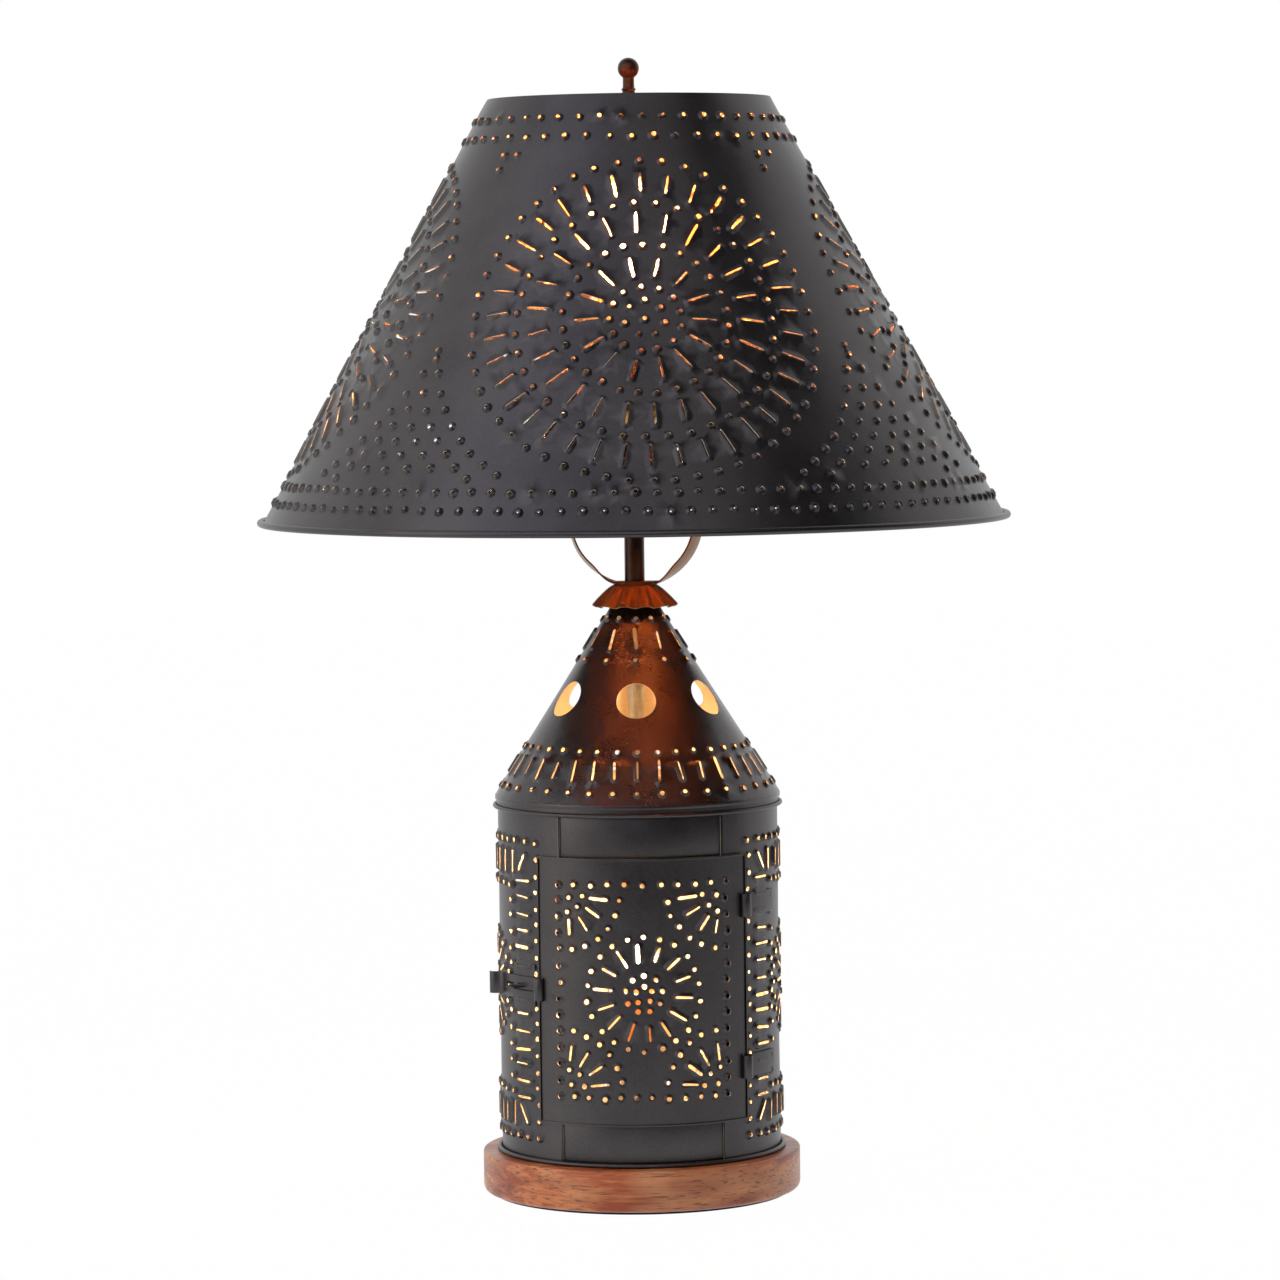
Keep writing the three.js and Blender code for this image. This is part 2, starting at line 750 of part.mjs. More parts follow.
// The turn knob: a ridged grip on a thin shaft that enters the socket from the front.
function switchKnob() {
  const inner = coreRadius + seatGap;
  const neck = shellOuter + knobStandOff;
  const grip = Array.from({ length: knobRidges * 2 }, (_, i) => {
    const radius = knobRadius * (i % 2 ? 0.88 : 1);
    const angle = (i / (knobRidges * 2)) * 2 * Math.PI;
    return new THREE.Vector2(radius * Math.cos(angle), radius * Math.sin(angle));
  });
  const knob = raised(grip, neck, neck + knobLength);
  const shaft = rod(knobShaft, inner, neck + 1, 12);
  return join(knob, shaft).rotateX(Math.PI / 2).translate(0, 0, knobAxis);
}

// A bulb's metal base: a contact tip under a plain screw shell.
function bulbBase(size, bottom) {
  const shoulder = bottom + size.tip;
  return turned([
    [0, bottom],
    [size.radius * 0.35, bottom],
    [size.radius * 0.5, shoulder - size.tip / 3],
    [size.radius, shoulder],
    [size.radius, bottom + size.height],
    [0, bottom + size.height],
  ], smallSides);
}

const glassFoot = (base, bottom) => bottom + base.height + stackGap;

// A bulb's glass: a pear-shaped shell, open at the neck that stands on the base.
function bulbGlass(size, bottom) {
  const shape = [[0, 0], [0.06, 0], [0.3, 0.36], [0.5, 0.8], [0.62, 1], [0.76, 0.95], [0.9, 0.62]];
  const outer = shape.map(([t, w]) =>
    [size.neck + (size.radius - size.neck) * w, bottom + size.height * t]);
  const top = bottom + size.height;
  const crown = [[size.radius * 0.34, top - size.height * 0.015], [0, top]];
  outer.push(...crown);
  const inner = outer.map(([r, z], i) => [Math.max(r - size.wall, 0), i < 2 ? z : z - size.wall * 0.8]);
  return turned([...inner.reverse(), ...outer], size.sides);
}

const upperBulbBottom = socketBottom + socketFloor + seatGap;
const nightSocketSeat = bracketHeight + bracketPlate + stackGap;
const nightBulbBottom = nightSocketSeat + nightSocketFloor + seatGap;
const nutUnderBracket = bracketHeight - stackGap - nutHeight;

// The bracket: a flat bar between two nuts on the pipe that carries the night light in front.
function candleBracket() {
  const half = bracketWidth / 2;
  const outline = [...arc(0, 0, half, 0, 180, 8), ...arc(0, -nightOffset, half, 180, 360, 8)];
  const holes = [[0, boltHole], [-nightOffset, nightBoss + boltGap]].map(([y, radius]) =>
    circle(0, y, radius, smallSides).reverse());
  return raised(outline, bracketHeight, bracketHeight + bracketPlate, holes);
}

function nightSocket() {
  const top = nightSocketSeat + nightSocketHeight;
  const floor = nightSocketSeat + nightSocketFloor;
  const profile = [
    [nightBossBore, bracketHeight - nightBossLength],
    [nightBoss, bracketHeight - nightBossLength],
    [nightBoss, nightSocketSeat],
    [nightSocketRadius, nightSocketSeat],
    [nightSocketRadius, top - 2],
    [nightSocketRadius - 1, top],
    [nightSocketBore, top],
    [nightSocketBore, floor],
    [nightBossBore, floor],
  ];
  return turned(profile, smallSides).translate(0, -nightOffset, 0);
}

// The short lead from the pipe's side hole, hanging in a small loop, up into the night socket.
function nightLead() {
  const bossEnd = bracketHeight - nightBossLength - seatGap;
  const path = new THREE.CatmullRomCurve3([
    new THREE.Vector3(0, -rodRadius - seatGap, leadExitHeight),
    new THREE.Vector3(0, -rodRadius - seatGap - 4, leadExitHeight),
    new THREE.Vector3(0, -nightOffset * 0.5, leadExitHeight - 3),
    new THREE.Vector3(0, -nightOffset * 0.82, leadExitHeight - 3),
    new THREE.Vector3(0, -nightOffset + 0.6, leadExitHeight + 5),
    new THREE.Vector3(0, -nightOffset, bossEnd - 4),
    new THREE.Vector3(0, -nightOffset, bossEnd),
  ]);
  const section = new THREE.Shape(circle(0, 0, leadRadius, 8));
  return new THREE.ExtrudeGeometry(section, { steps: 20, extrudePath: path });
}

// The shade's wall runs straight from the top hem to a curl rolled outwards round a wire.
const shadeTopHeight = harpTop + shadeAboveHarp;
const shadeRimHeight = shadeTopHeight - shadeHeight;
const curlCentre = new THREE.Vector2(shadeRimRadius - curlRadius, shadeRimHeight + curlRadius);
const shadeLine = curlTangent();

// The wall's outer line ends where it runs into the curl, so its slope is found by repetition.
function curlTangent() {
  const reach = curlRadius - sheet;
  let angle = 0.5;
  for (let i = 0; i < 30; i += 1) {
    const r = curlCentre.x - reach * Math.cos(angle);
    const z = curlCentre.y - reach * Math.sin(angle);
    angle = Math.atan((r - shadeTopRadius) / (shadeTopHeight - z));
  }
  return { angle, slope: Math.tan(angle) };
}

const shadeRadiusAt = (height) => shadeTopRadius + shadeLine.slope * (shadeTopHeight - height);
const shadeWallAcross = sheet / Math.cos(shadeLine.angle);

// A point given on the flat sheet, with the cone's tip at its origin, and a height above the sheet.
function onShade(flat, height) {
  const reach = flat.length();
  const angle = Math.atan2(flat.y, flat.x) / Math.sin(shadeLine.angle);
  const radius = reach * Math.sin(shadeLine.angle) + height * Math.cos(shadeLine.angle);
  const drop = reach * Math.cos(shadeLine.angle) - height * Math.sin(shadeLine.angle);
  const place = new THREE.Vector2(0, -radius).rotateAround(new THREE.Vector2(), angle);
  return [place.x, place.y, shadeTopHeight + shadeTopRadius / shadeLine.slope - drop];
}

// One slot's bulge: four corners sunk in the sheet and a short ridge along the middle.
function raisedSlot(middle, direction) {
  const along = new THREE.Vector2(slotLength / 2, 0).rotateAround(new THREE.Vector2(), direction);
  const across = new THREE.Vector2(0, slotWidth / 2).rotateAround(new THREE.Vector2(), direction);
  const spot = (u, v) => middle.clone().addScaledVector(along, u).addScaledVector(across, v);
  const ridge = 1 - slotWidth / slotLength;
  const corners = [
    onShade(spot(-1, -1), -slotSink),
    onShade(spot(1, -1), -slotSink),
    onShade(spot(1, 1), -slotSink),
    onShade(spot(-1, 1), -slotSink),
    onShade(spot(-ridge, 0), slotRise),
    onShade(spot(ridge, 0), slotRise),
  ];
  const geometry = new THREE.BufferGeometry();
  geometry.setAttribute('position', new THREE.Float32BufferAttribute(corners.flat(), 3));
  geometry.setIndex([0, 2, 1, 0, 3, 2, 0, 1, 5, 0, 5, 4, 1, 2, 5, 2, 3, 4, 2, 4, 5, 3, 0, 4]);
  return geometry;
}

function shadeSlots() {
  const topReach = shadeTopRadius / Math.sin(shadeLine.angle);
  const wall = shadeHeight / Math.cos(shadeLine.angle);
  const slots = [];
  for (const place of roseAngles) {
    const lean = place * deg * Math.sin(shadeLine.angle);
    const rose = new THREE.Vector2(topReach + wall * roseShare, 0).rotateAround(new THREE.Vector2(), lean);
    for (const { slots: count, radius, offset } of roseRings) {
      for (let i = 0; i < count; i += 1) {
        const direction = lean + Math.PI + ((i + offset) * 2 * Math.PI) / count;
        const step = new THREE.Vector2(radius, 0).rotateAround(new THREE.Vector2(), direction);
        slots.push(raisedSlot(rose.clone().add(step), direction));
      }
    }
  }
  return slots;
}

function shadeCone() {
  const start = 180 + shadeLine.angle / deg;
  const curl = (radius, from, to) =>
    arc(curlCentre.x, curlCentre.y, radius, from, to, 6).map((p) => [p.x, p.y]);
  const profile = [
    [shadeTopRadius - shadeWallAcross, shadeTopHeight],
    ...curl(curlRadius, start, start + curlTurn),
    ...curl(curlRadius - sheet, start + curlTurn, start),
    [shadeTopRadius, shadeTopHeight],
  ];
  return join(turned(profile, bodySides), ...shadeSlots());
}

function shadeRimWire() {
  const radius = (curlRadius - sheet) * Math.cos(25 * deg) - curlWireGap / 2;
  return turned(arc(curlCentre.x, curlCentre.y, radius, 0, 300, 5).map((p) => [p.x, p.y]), bodySides);
}

// A narrow band folded down inside the top edge.
function shadeTopHem() {
  const gap = seatGap / Math.cos(shadeLine.angle);
  const outer = (height) => shadeRadiusAt(height) - shadeWallAcross - gap;
  const low = shadeTopHeight - hemHeight;
  const profile = [
    [outer(low) - shadeWallAcross, low],
    [outer(low), low],
    [outer(shadeTopHeight), shadeTopHeight],
    [outer(shadeTopHeight) - shadeWallAcross, shadeTopHeight],
  ];
  return turned(profile, bodySides);
}

const spiderBottom = harpTop + seatGap;
const spiderTop = spiderBottom + spiderPlate;

function shadeSpider() {
  const reach = shadeRadiusAt(spiderTop) - shadeWallAcross - spiderEndGap;
  const half = spiderArmWidth / 2;
  const arms = Array.from({ length: spiderArms }, (_, i) => {
    const end = Math.sqrt(reach ** 2 - half ** 2);
    const arm = block(spiderHub * 0.5, end, -half, half, spiderBottom, spiderTop);
    return arm.rotateZ(Math.PI / 2 + (i * 2 * Math.PI) / spiderArms);
  });
  const hub = rod(spiderHub, spiderBottom, spiderTop, smallSides);
  const hole = rod(studRadius + boltGap, spiderBottom - 1, spiderTop + 1, smallSides);
  return cut(join(hub, ...arms), hole);
}

// The finial: a flared foot on the spider, a thin neck with a ring, and a ball.
function finial() {
  const foot = spiderTop + stackGap;
  const bore = studRadius + boltGap;
  const boreTop = harpTop + studHeight + 0.6;
  const crown = foot + finialHeight;
  const ballCentre = crown - finialBall;
  const waist = boreTop + 2.2;
  const neckAngle = -Math.acos(finialNeck / finialBall) / deg;
  const ball = arc(0, ballCentre, finialBall, neckAngle, 90, 6).map((p) => [p.x, p.y]);
  ball[ball.length - 1][0] = 0;
  const profile = [
    [0, boreTop],
    [bore, boreTop],
    [bore, foot],
    [finialFoot, foot],
    [finialFoot, foot + 1.5],
    [finialFoot * 0.76, foot + 4],
    [finialFoot * 0.6, foot + 6.5],
    [bore + 1, boreTop + 0.4],
    [finialNeck + 0.1, waist],
    [finialNeck + 1.2, waist + 1],
    [finialNeck + 0.1, waist + 2],
    ...ball,
  ];
  return turned(profile, loopSides);
}

// Finishes
const finish = (color, roughness, metalness) => ({ color, roughness, metalness });
const blackTin = finish(0x3b3c40, 0.5, 0.7);
const capTin = finish(0x5a4636, 0.45, 0.8);
const wood = finish(0xb4704f, 0.55, 0);
const felt = finish(0x1e1d1c, 0.95, 0);
const steel = finish(0x9a9a98, 0.35, 1);
const brass = finish(0xb08d4c, 0.35, 1);
const bronze = finish(0x3a2a20, 0.4, 0.8);
const phenolic = finish(0x15130f, 0.5, 0);
const paper = finish(0x8d6f4a, 0.9, 0);
const glass = finish(0xffe2b0, 0.1, 0);
const pvc = finish(0x4a3524, 0.6, 0);

const lamp = new THREE.Group();

function piece(name, geometry, look, parent = lamp) {
  const shape = weld(geometry);
  shape.computeVertexNormals();
  const mesh = new THREE.Mesh(shape, new THREE.MeshStandardMaterial(look));
  mesh.name = name;
  parent.add(mesh);
}

piece('base_felt', baseFelt(), felt);
piece('wood_base', woodBase(), wood);
piece('cord_bushing', cordBushing(), phenolic);
piece('base_washer', baseWasher(), steel);
piece('base_locknut', hexNut(boltHole, baseNutBottom), steel);
piece('centre_rod', centreRod(), steel);
piece('lantern_floor', lanternFloor(), blackTin);
piece('floor_locknut', hexNut(boltHole, floorTop + stackGap), steel);
piece('lantern_shell', lanternShell(), blackTin);
piece('sill_band', openingBand(shellBottom, sillTop), blackTin);
piece('head_band', openingBand(headBottom, shellTop), blackTin);
piece('door_panel', doorPanel(), blackTin);
for (const [place, height] of Object.entries(hingeHeights)) {
  piece(`hinge_strap_${place}`, hingeStrap(height), blackTin);
}
piece('hasp_staple', haspStaple(), blackTin);
piece('door_hasp', doorHasp(), blackTin);

piece('candle_bracket', candleBracket(), steel);
piece('bracket_locknut_lower', hexNut(boltHole, nutUnderBracket), steel);
piece('bracket_locknut_upper', hexNut(boltHole, nightSocketSeat), steel);
piece('night_socket', nightSocket(), phenolic);
piece('night_socket_nut', hexNut(nightBoss + boltGap, nutUnderBracket, 0, -nightOffset), steel);
piece('night_lead', nightLead(), pvc);
const nightLight = new THREE.Group();
nightLight.position.set(0, -nightOffset, 0);
lamp.add(nightLight);
piece('night_bulb_base', bulbBase(nightBase, nightBulbBottom), brass, nightLight);
piece('night_bulb_glass', bulbGlass(nightGlass, glassFoot(nightBase, nightBulbBottom)), glass, nightLight);

piece('roof_rim', roofRim(), blackTin);
piece('cone_roof', coneRoof(), blackTin);
piece('neck_washer', neckWasher(), steel);
piece('neck_locknut', hexNut(boltHole, neckNutBottom), steel);
piece('scalloped_cap', scallopedCap(), capTin);
piece('ring_handle', ringHandle(), capTin);
piece('riser_tube', riserTube(), bronze);

piece('harp_saddle', harpSaddle(), bronze);
piece('harp', harp(), bronze);
piece('harp_ferrule_left', harpFerrule(-1), bronze);
piece('harp_ferrule_right', harpFerrule(1), bronze);
piece('socket_cap', socketCap(), brass);
piece('socket_shell', socketShell(), brass);
piece('socket_liner', socketLiner(), paper);
piece('socket_core', socketCore(), phenolic);
piece('switch_knob', switchKnob(), phenolic);
piece('upper_bulb_base', bulbBase(upperBase, upperBulbBottom), brass);
piece('upper_bulb_glass', bulbGlass(upperGlass, glassFoot(upperBase, upperBulbBottom)), glass);

piece('shade_cone', shadeCone(), blackTin);
piece('shade_rim_wire', shadeRimWire(), steel);
piece('shade_top_hem', shadeTopHem(), blackTin);
piece('shade_spider', shadeSpider(), blackTin);
piece('finial', finial(), bronze);

export default lamp;
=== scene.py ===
import bpy
import numpy as np
from mathutils import Matrix, Vector
from mathutils.geometry import delaunay_2d_cdt


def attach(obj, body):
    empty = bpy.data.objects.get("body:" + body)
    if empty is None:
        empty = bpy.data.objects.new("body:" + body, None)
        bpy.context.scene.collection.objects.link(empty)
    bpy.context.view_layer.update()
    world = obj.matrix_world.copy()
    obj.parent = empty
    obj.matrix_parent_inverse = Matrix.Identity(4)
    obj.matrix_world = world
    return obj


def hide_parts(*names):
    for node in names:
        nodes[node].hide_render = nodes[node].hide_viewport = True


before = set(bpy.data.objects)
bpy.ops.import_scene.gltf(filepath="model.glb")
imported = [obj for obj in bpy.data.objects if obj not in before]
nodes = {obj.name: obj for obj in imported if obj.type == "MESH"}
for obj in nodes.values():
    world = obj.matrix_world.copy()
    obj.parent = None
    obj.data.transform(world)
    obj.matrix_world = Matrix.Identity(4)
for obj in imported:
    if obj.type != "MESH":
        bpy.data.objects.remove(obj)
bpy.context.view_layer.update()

scene = bpy.context.scene


# Meshes
def cols(*parts):
    # arrays side by side along a new last axis, short ones spread to fit
    return np.stack(np.broadcast_arrays(*parts), -1)


def polar(reach, angle):
    return cols(reach * np.cos(angle), reach * np.sin(angle))


def roundAxis(radius, angle, z):
    # points round the upright axis, with angles that count from the front
    return cols(radius * np.sin(angle), -radius * np.cos(angle), z)


def box(left, right, low, high):
    return [[left, low], [right, low], [right, high], [left, high]]


def gridTriangles(rows, columns, closeRows=False, closeColumns=False):
    # two triangles in each cell of a rows by columns grid of points
    i = np.arange(rows if closeRows else rows - 1)[:, None]
    j = np.arange(columns if closeColumns else columns - 1)[None, :]
    nextI, nextJ = (i + 1) % rows, (j + 1) % columns
    a, b = i * columns + j, i * columns + nextJ
    c, d = nextI * columns + nextJ, nextI * columns + j
    return np.concatenate([cols(a, b, c).reshape(-1, 3), cols(a, c, d).reshape(-1, 3)])


def joined(*shapes):
    # several (points, triangles) shapes as one
    starts = np.cumsum([0] + [len(points) for points, _ in shapes[:-1]])
    return (np.concatenate([points for points, _ in shapes]),
            np.concatenate([faces + start for (_, faces), start in zip(shapes, starts)]))


def outward(points, faces):
    # the signed volume is positive when a closed shape's faces point outwards
    a, b, c = points[faces[:, 0]], points[faces[:, 1]], points[faces[:, 2]]
    return faces if np.einsum("ij,ij->", a, np.cross(b, c)) > 0 else faces[:, ::-1]


def turned(profile, sides):
    # each (radius, height) of the profile is carried round the axis; a profile that starts and
    # ends on the axis is left open there, and any other is closed on itself
    r, z = np.asarray(profile, float).T
    angle = np.linspace(0, 2 * np.pi, sides, endpoint=False)[:, None]
    points = cols(r * np.cos(angle), r * np.sin(angle), z).reshape(-1, 3)
    onAxis = r[0] == 0 and r[-1] == 0
    faces = gridTriangles(sides, len(r), closeRows=True, closeColumns=not onAxis)
    return points, outward(points, faces)


def softened(profile, radius, steps=4):
    # each corner is replaced by a short curve between points set back along its two sides; a
    # profile that starts and ends on the axis keeps those two points
    p = np.asarray(profile, float)
    before, after = np.roll(p, 1, 0) - p, np.roll(p, -1, 0) - p
    sizes = [np.linalg.norm(v, axis=1) for v in (before, after)]
    reach = np.minimum(radius, 0.5 * np.minimum(*sizes))[:, None]
    start, end = (p + v / np.maximum(s, 1e-9)[:, None] * reach for v, s in zip((before, after), sizes))
    t = np.linspace(0, 1, steps)[None, :, None]
    curve = (1 - t) ** 2 * start[:, None] + 2 * t * (1 - t) * p[:, None] + t ** 2 * end[:, None]
    curve = curve.reshape(-1, 2)
    if p[0, 0] == 0 and p[-1, 0] == 0:
        return np.concatenate([p[:1], curve[steps:-steps], p[-1:]])
    return curve


def swept(path, across, up, section):
    # a flat section, given as (across, up) pairs, at each point of the path
    return path[:, None] + section[None, :, :1] * across[:, None] + section[None, :, 1:] * up[:, None]


def endFans(count, lastStart):
    # triangles that close both ends of a swept section of so many points
    k = np.arange(1, count - 1)
    fan = cols(0, k, k + 1)
    return [fan[:, ::-1], fan + lastStart]


def carried(path, across, up, section, closed=False):
    # the section swept along the path as one closed shape; a closed path has no ends to fill
    s = np.asarray(section, float)
    points = swept(path, across, up, s).reshape(-1, 3)
    faces = gridTriangles(len(path), len(s), closeRows=closed, closeColumns=True)
    if not closed:
        faces = np.concatenate([faces, *endFans(len(s), (len(path) - 1) * len(s))])
    return points, outward(points, faces)


def flatPath(x, y, plane):
    # a path in the XY or the XZ plane, the direction square to it in that plane and the one out of it
    p, q, zero = np.asarray(x, float), np.asarray(y, float), np.zeros(len(x))
    dp, dq = np.gradient(p), np.gradient(q)
    size = np.hypot(dp, dq)
    order = {"xy": (0, 1, 2), "xz": (0, 2, 1)}[plane]
    place = lambda *parts: cols(*(parts[k] for k in order))
    return place(p, q, zero), place(dq / size, -dp / size, zero), place(zero, zero, zero + 1)


def disc(radius, sides):
    return polar(radius, np.linspace(0, 2 * np.pi, sides, endpoint=False))


def arcPoints(x, y, radius, start, end, count):
    return [x, y] + polar(radius, np.radians(np.linspace(start, end, count)))


def barSection(thick, low, high, round=0.15):
    # a strip's section: thick across, from low to high along it, with its corners eased
    return softened(box(-thick / 2, thick / 2, low, high), round, 3)


def splinePoints(control, count):
    # a smooth curve through the control points, each stretch a cubic with neighbours' slopes
    p = np.asarray(control, float)
    p = np.concatenate([2 * p[:1] - p[1:2], p, 2 * p[-1:] - p[-2:-1]])
    t = np.linspace(0, len(p) - 3, count)
    k = np.minimum(t.astype(int), len(p) - 4)
    t = (t - k)[:, None]
    a, b, c, d = p[k], p[k + 1], p[k + 2], p[k + 3]
    square = (2 * a - 5 * b + 4 * c - d) * t ** 2
    return 0.5 * (2 * b + (c - a) * t + square + (3 * b - a - 3 * c + d) * t ** 3)


def addPiece(name, shape, body, materials, replaces=(), inner=None, sharp=40):
    # welds the points, makes the mesh in metres, hangs it on its body and hides the CAD nodes that it
    # replaces; inner gives each triangle's material: 0 outside, 1 inside, 2 torn edges
    points, faces = shape
    _, first, back = np.unique(np.round(points, 4), axis=0, return_index=True, return_inverse=True)
    faces = back.reshape(-1)[faces]
    a, b, c = faces.T
    keep = (a != b) & (b != c) & (c != a)
    mesh = bpy.data.meshes.new(name)
    mesh.from_pydata((points[first] / 1000).tolist(), [], faces[keep].tolist())
    for material in materials:
        mesh.materials.append(material)
    if inner is not None:
        places = np.minimum(inner[keep], len(materials) - 1).astype(np.int32)
        mesh.polygons.foreach_set("material_index", places)
    mesh.shade_smooth()
    mesh.set_sharp_from_angle(angle=np.radians(sharp))
    piece = bpy.data.objects.new(name, mesh)
    scene.collection.objects.link(piece)
    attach(piece, body)
    if replaces:
        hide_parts(*replaces)
    return piece


# Punched sheet
# A sheet is laid out flat, its marks are drawn on it in millimetres, the flat sheet is cut into
# triangles round the marks, and then it is rolled to its cylinder or cone.
def coneRoll(topRadius, topHeight, slope):
    # flat sheet: distance from the cone's point and angle; rolled: that angle spread to a full turn
    tilt = np.arctan(slope)
    sinTilt, cosTilt = np.sin(tilt), np.cos(tilt)
    apex = topHeight + topRadius / slope

    def toSpace(flat, height):
        reach = np.hypot(flat[:, 0], flat[:, 1])
        angle = np.arctan2(flat[:, 1], flat[:, 0]) / sinTilt
        radius = reach * sinTilt + height * cosTilt
        return roundAxis(radius, angle, apex - reach * cosTilt + height * sinTilt)

    def toCut(flat):  # an even map of the flat sector on a rectangle, so that circles stay round
        return cols(np.arctan2(flat[:, 1], flat[:, 0]), np.log(np.hypot(flat[:, 0], flat[:, 1])))

    def reachAt(height):
        return (apex - height) / cosTilt

    def corners(seam, top, foot):  # of the whole sheet, on that rectangle
        low = np.array([np.radians(seam) * sinTilt, np.log(reachAt(top))])
        return low, np.array([low[0] + 2 * np.pi * sinTilt, np.log(reachAt(foot))])

    return {"toSpace": toSpace, "toCut": toCut, "fromCut": lambda cut: polar(np.exp(cut[:, 1]), cut[:, 0]),
            "reachAt": reachAt, "corners": corners, "sin": sinTilt,
            "spot": lambda angle, reach: polar(reach, angle * sinTilt)}


def drumRoll(radius):
    # flat sheet: length round the drum and height; rolled: the length becomes an angle
    return {"toSpace": lambda flat, height: roundAxis(radius + height, flat[:, 0] / radius, flat[:, 1]),
            "toCut": lambda flat: flat, "fromCut": lambda cut: cut}


halfEnd = np.array([[1, 0], [.94, .6], [.78, 1], [.26, 1]])
longOval = np.concatenate([halfEnd, (halfEnd * [-1, 1])[::-1], (halfEnd * [-1, -1])[1:],
                           (halfEnd * [1, -1])[:0:-1]])
windowOutline = np.array([[1, 0], [1, 1], [.5, 1], [0, 1], [-.5, 1], [-1, 1],
                          [-1, 0], [-1, -1], [-.5, -1], [0, -1], [.5, -1], [1, -1]])


def struckMark(outline, *rings):
    # a kind of mark: the outline at the size of each ring, which is given as its half length, its
    # half width and how far it stands out of the sheet; the first ring is the hole
    rings = np.array(rings)
    return {"outline": outline, "rings": rings[:, :2], "heights": rings[:, 2]}


shadeStyle = {
    "dot": struckMark(disc(1, 7), (1.2, 1.2, 1.45), (1.8, 1.8, 1.25), (3.1, 3.1, 0)),
    "dimple": struckMark(disc(1, 8), (0.5, 0.5, 1.0), (1.6, 1.6, 1.4), (3.0, 3.0, 0)),
    "slot": struckMark(longOval, (6.5, 0.6, 1.35), (7.1, 1.35, 1.35), (8.6, 3.2, 0)),
}
lanternStyle = {
    "dot": struckMark(disc(1, 8), (1.35, 1.35, 1.5), (1.85, 1.85, 1.3), (2.9, 2.9, 0)),
    "slot": struckMark(longOval, (5.5, 0.68, 1.6), (6.0, 1.35, 1.5), (7.2, 3.0, 0)),
    "window": struckMark(windowOutline, (7.0, 1.2, 0), (8.0, 2.0, 0)),
}
# the roof's marks stand lower in the photo than those of the wall
roofStyle = {
    "dot": struckMark(disc(1, 8), (1.35, 1.35, 1.15), (1.85, 1.85, 1.0), (2.8, 2.8, 0)),
    "slot": struckMark(longOval, (5.5, 0.68, 1.15), (6.0, 1.35, 1.1), (7.0, 2.7, 0)),
    "vent": struckMark(disc(1, 48), (11.35, 11.35, 0), (12.4, 12.4, 0)),
}
# how far marks struck by hand wander: millimetres, radians, then shares of their sizes
struck = {"jitter": 0.35, "turn": 0.05, "size": 0.09, "sizes": (0.8, 1.2), "slit": 0.18, "slits": (0.3, 1.5),
          "height": 0.12}
rng = np.random.default_rng(17)
# collar: flat points this far outside each mark keep the sheet between the marks smooth; marks,
# collars, ends: how far the other flat points stay from marks, and collars from the sheet's ends (in
# pitches); fade: the waviness dies out this near the ends
gaps = {"collar": 0.7, "marks": 1.7, "collars": 0.45, "ends": 0.3, "fade": 12}


def placeMarks(style, kind, centres, headings, length=None, width=None):
    # the rings of points of many marks of one kind at once
    style = style[kind]
    centres, headings = np.asarray(centres, float), np.asarray(headings, float)
    n = len(centres)
    rings = style["rings"]
    if length is not None:
        rings = rings + [length / 2 - rings[0, 0], 0]
    if width is not None:
        rings = rings + [0, width / 2 - rings[0, 1]]
    rings = np.repeat(rings[None], n, 0)
    heights = np.repeat(style["heights"][None, :], n, 0)
    loose = kind in ("dot", "dimple", "slot")
    if loose:
        centres = centres + rng.normal(0, struck["jitter"], (n, 2))
        headings = headings + rng.normal(0, struck["turn"], n)
        rings = rings * (1 + rng.normal(0, struck["size"], (n, 1, 1))).clip(*struck["sizes"])
    if kind == "slot":
        rings[:, 0, 1] *= (1 + rng.normal(0, struck["slit"], n)).clip(*struck["slits"])
    if loose:
        heights = heights * (1 + rng.normal(0, struck["height"], (n, 1)))
    outline = style["outline"][None, None]
    c, s = np.cos(headings)[:, None, None], np.sin(headings)[:, None, None]
    turnedBy = lambda p: cols(p[..., 0] * c - p[..., 1] * s, p[..., 0] * s + p[..., 1] * c)
    placed = lambda p: turnedBy(p) + centres[:, None, None]
    return {"points": placed(outline * rings[:, :, None]),
            "collar": placed(outline * (rings[:, -1:, None] + gaps["collar"]))[:, 0],
            "heights": np.repeat(heights[:, :, None], len(style["outline"]), 2), "centre": centres,
            "ends": polar(1, headings) * (rings[:, 0, :1] - rings[:, 0, 1:]),
            "clear": rings[:, -1, 1], "hole": rings[:, 0, 1]}


